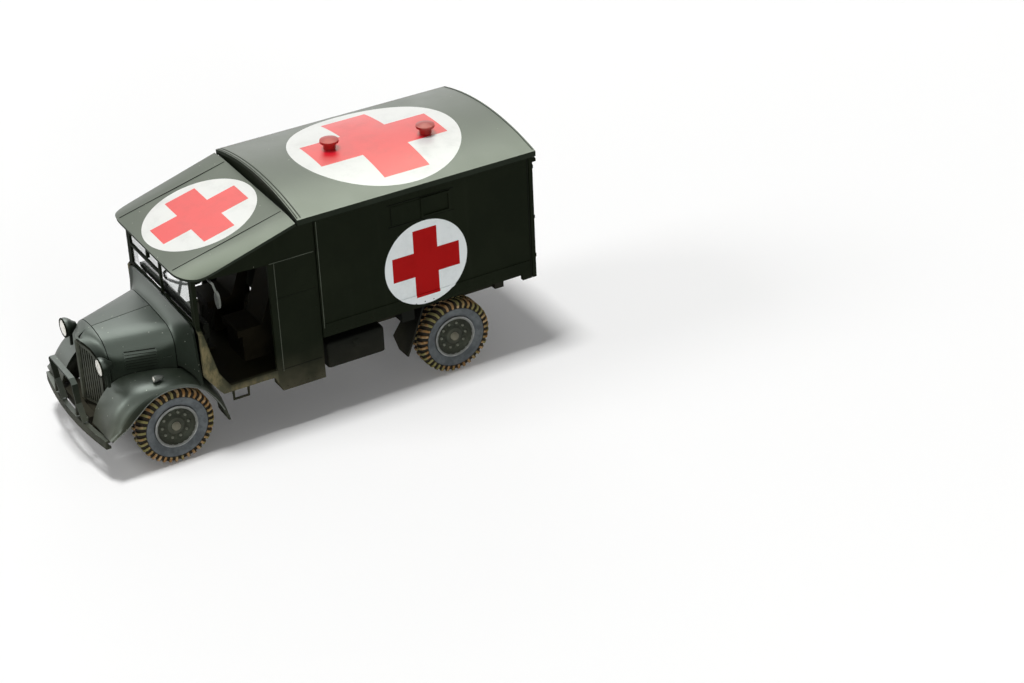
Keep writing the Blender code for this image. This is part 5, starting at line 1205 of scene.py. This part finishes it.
def makeWingLipHighlights():
    edge = highOf("wing_front_left").x - wingLipHighlight["inset"]
    axle = middleOf("wheel_disc_front_left")
    path = []
    for angle in stations(math.radians(wingLipHighlight["start"]), math.radians(wingLipHighlight["end"]), wingLipHighlight["count"]):
        aim = (0.0, -math.cos(angle), math.sin(angle))
        inner = touch("wing_front_left", (edge, axle.y, axle.z), aim)
        if inner:
            path.append(Vector((edge + wingLipHighlight["inset"] / 2, inner.y, inner.z)))
    # painted highlight: a light grey line along the lip
    wire("wingLipHighlights", mirroredPaths([path]), wingLipHighlight["wire"], greyPaint)


makeBulkhead()
makeInnerWings()
makeLouvres()
makeWingLipHighlights()
print("stage: nose")


# Smooth skins: the faceted panels get finer copies of themselves whose sharp edges are kept. The number is
# how often a skin is divided: 0 only evens its shading, and None averages its normals over a wider patch
skins = {
    "body_paint": {
        "wing_front_left": 2, "wing_front_right": 2, "scuttle": 2, "cab_roof": 2, "body_roof": 2,
        "bonnet_left": None, "bonnet_right": None, "radiator_shell": 0, "headlamp_left": 0,
        "headlamp_right": 0, "sidelight_left": 0, "sidelight_right": 0, "front_bumper": 0, "mirror_left": 0,
        "mirror_right": 0, "step_left": 0, "step_right": 0, "wheel_disc_front_left": 0,
        "wheel_disc_front_right": 0, "wheel_disc_rear_left": 0, "wheel_disc_rear_right": 0,
    },
    "red_paint": {"roof_vent_front": 0, "roof_vent_rear": 0},
    "chassis_paint": {
        "steering_wheel": 0, "exhaust_pipe": 0, "fuel_tank": 0, "front_axle": 0, "rear_axle": 0,
    },
}
skinLook = {"weld": 0.0000004, "quadFlat": 30.0, "quadShape": 60.0, "crease": 33.0}
evenLook = {"reach": 0.0024, "bend": 32.0, "cell": 0.00045, "steps": (0.7549, 0.5698), "own": 0.01}


def evenNormals(mesh):
    # each corner's normal is the average of the skin around it that faces about the same way
    spots, facing = [], []
    for face in mesh.polygons:
        first, second, third = (mesh.vertices[index].co for index in face.vertices[:3])
        for number in range(max(1, round(face.area / evenLook["cell"] ** 2))):
            across, along = ((number * step + 0.5) % 1.0 for step in evenLook["steps"])
            if across + along > 1.0:
                across, along = 1.0 - across, 1.0 - along
            spots.append(first + (second - first) * across + (third - first) * along)
            facing.append(face.normal.copy())
    near = KDTree(len(spots))
    for index, spot in enumerate(spots):
        near.insert(spot, index)
    near.balance()
    bend = math.cos(math.radians(evenLook["bend"]))
    normals = []
    for face in mesh.polygons:
        for vertex in face.vertices:
            total = face.normal * evenLook["own"]
            for _, index, distance in near.find_range(mesh.vertices[vertex].co, evenLook["reach"]):
                if facing[index].dot(face.normal) > bend:
                    total += facing[index] * (1.0 - distance / evenLook["reach"])
            normals.append(total.normalized())
    mesh.normals_split_custom_set(normals)


def makeSkin(node, levels):
    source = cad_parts[node]
    bm = bmesh.new()
    bm.from_mesh(source.data)
    bmesh.ops.remove_doubles(bm, verts=bm.verts, dist=skinLook["weld"])
    if levels:
        bmesh.ops.join_triangles(bm, faces=bm.faces, angle_face_threshold=math.radians(skinLook["quadFlat"]),
                                 angle_shape_threshold=math.radians(skinLook["quadShape"]))
        crease = bm.edges.layers.float.new("crease_edge")
        for edge in bm.edges:
            if len(edge.link_faces) != 2 or edge.calc_face_angle() > math.radians(skinLook["crease"]):
                edge[crease] = 1.0
    body = node.replace("wheel_disc_", "wheel_") if node.startswith("wheel_disc_") else "truck"
    piece = pieceFrom(node + "_skin", bm, source.material_slots[0].material, body, skinLook["crease"])
    if levels is None:
        evenNormals(piece.data)
    elif levels:
        finer = piece.modifiers.new("finer", "SUBSURF")
        finer.levels = levels
        finer.render_levels = levels
    else:
        even = piece.modifiers.new("evenShading", "WEIGHTED_NORMAL")
        even.keep_sharp = True
    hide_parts(node)


for slot, nodes in skins.items():
    for node, levels in nodes.items():
        makeSkin(node, levels)
print("stage: skins")
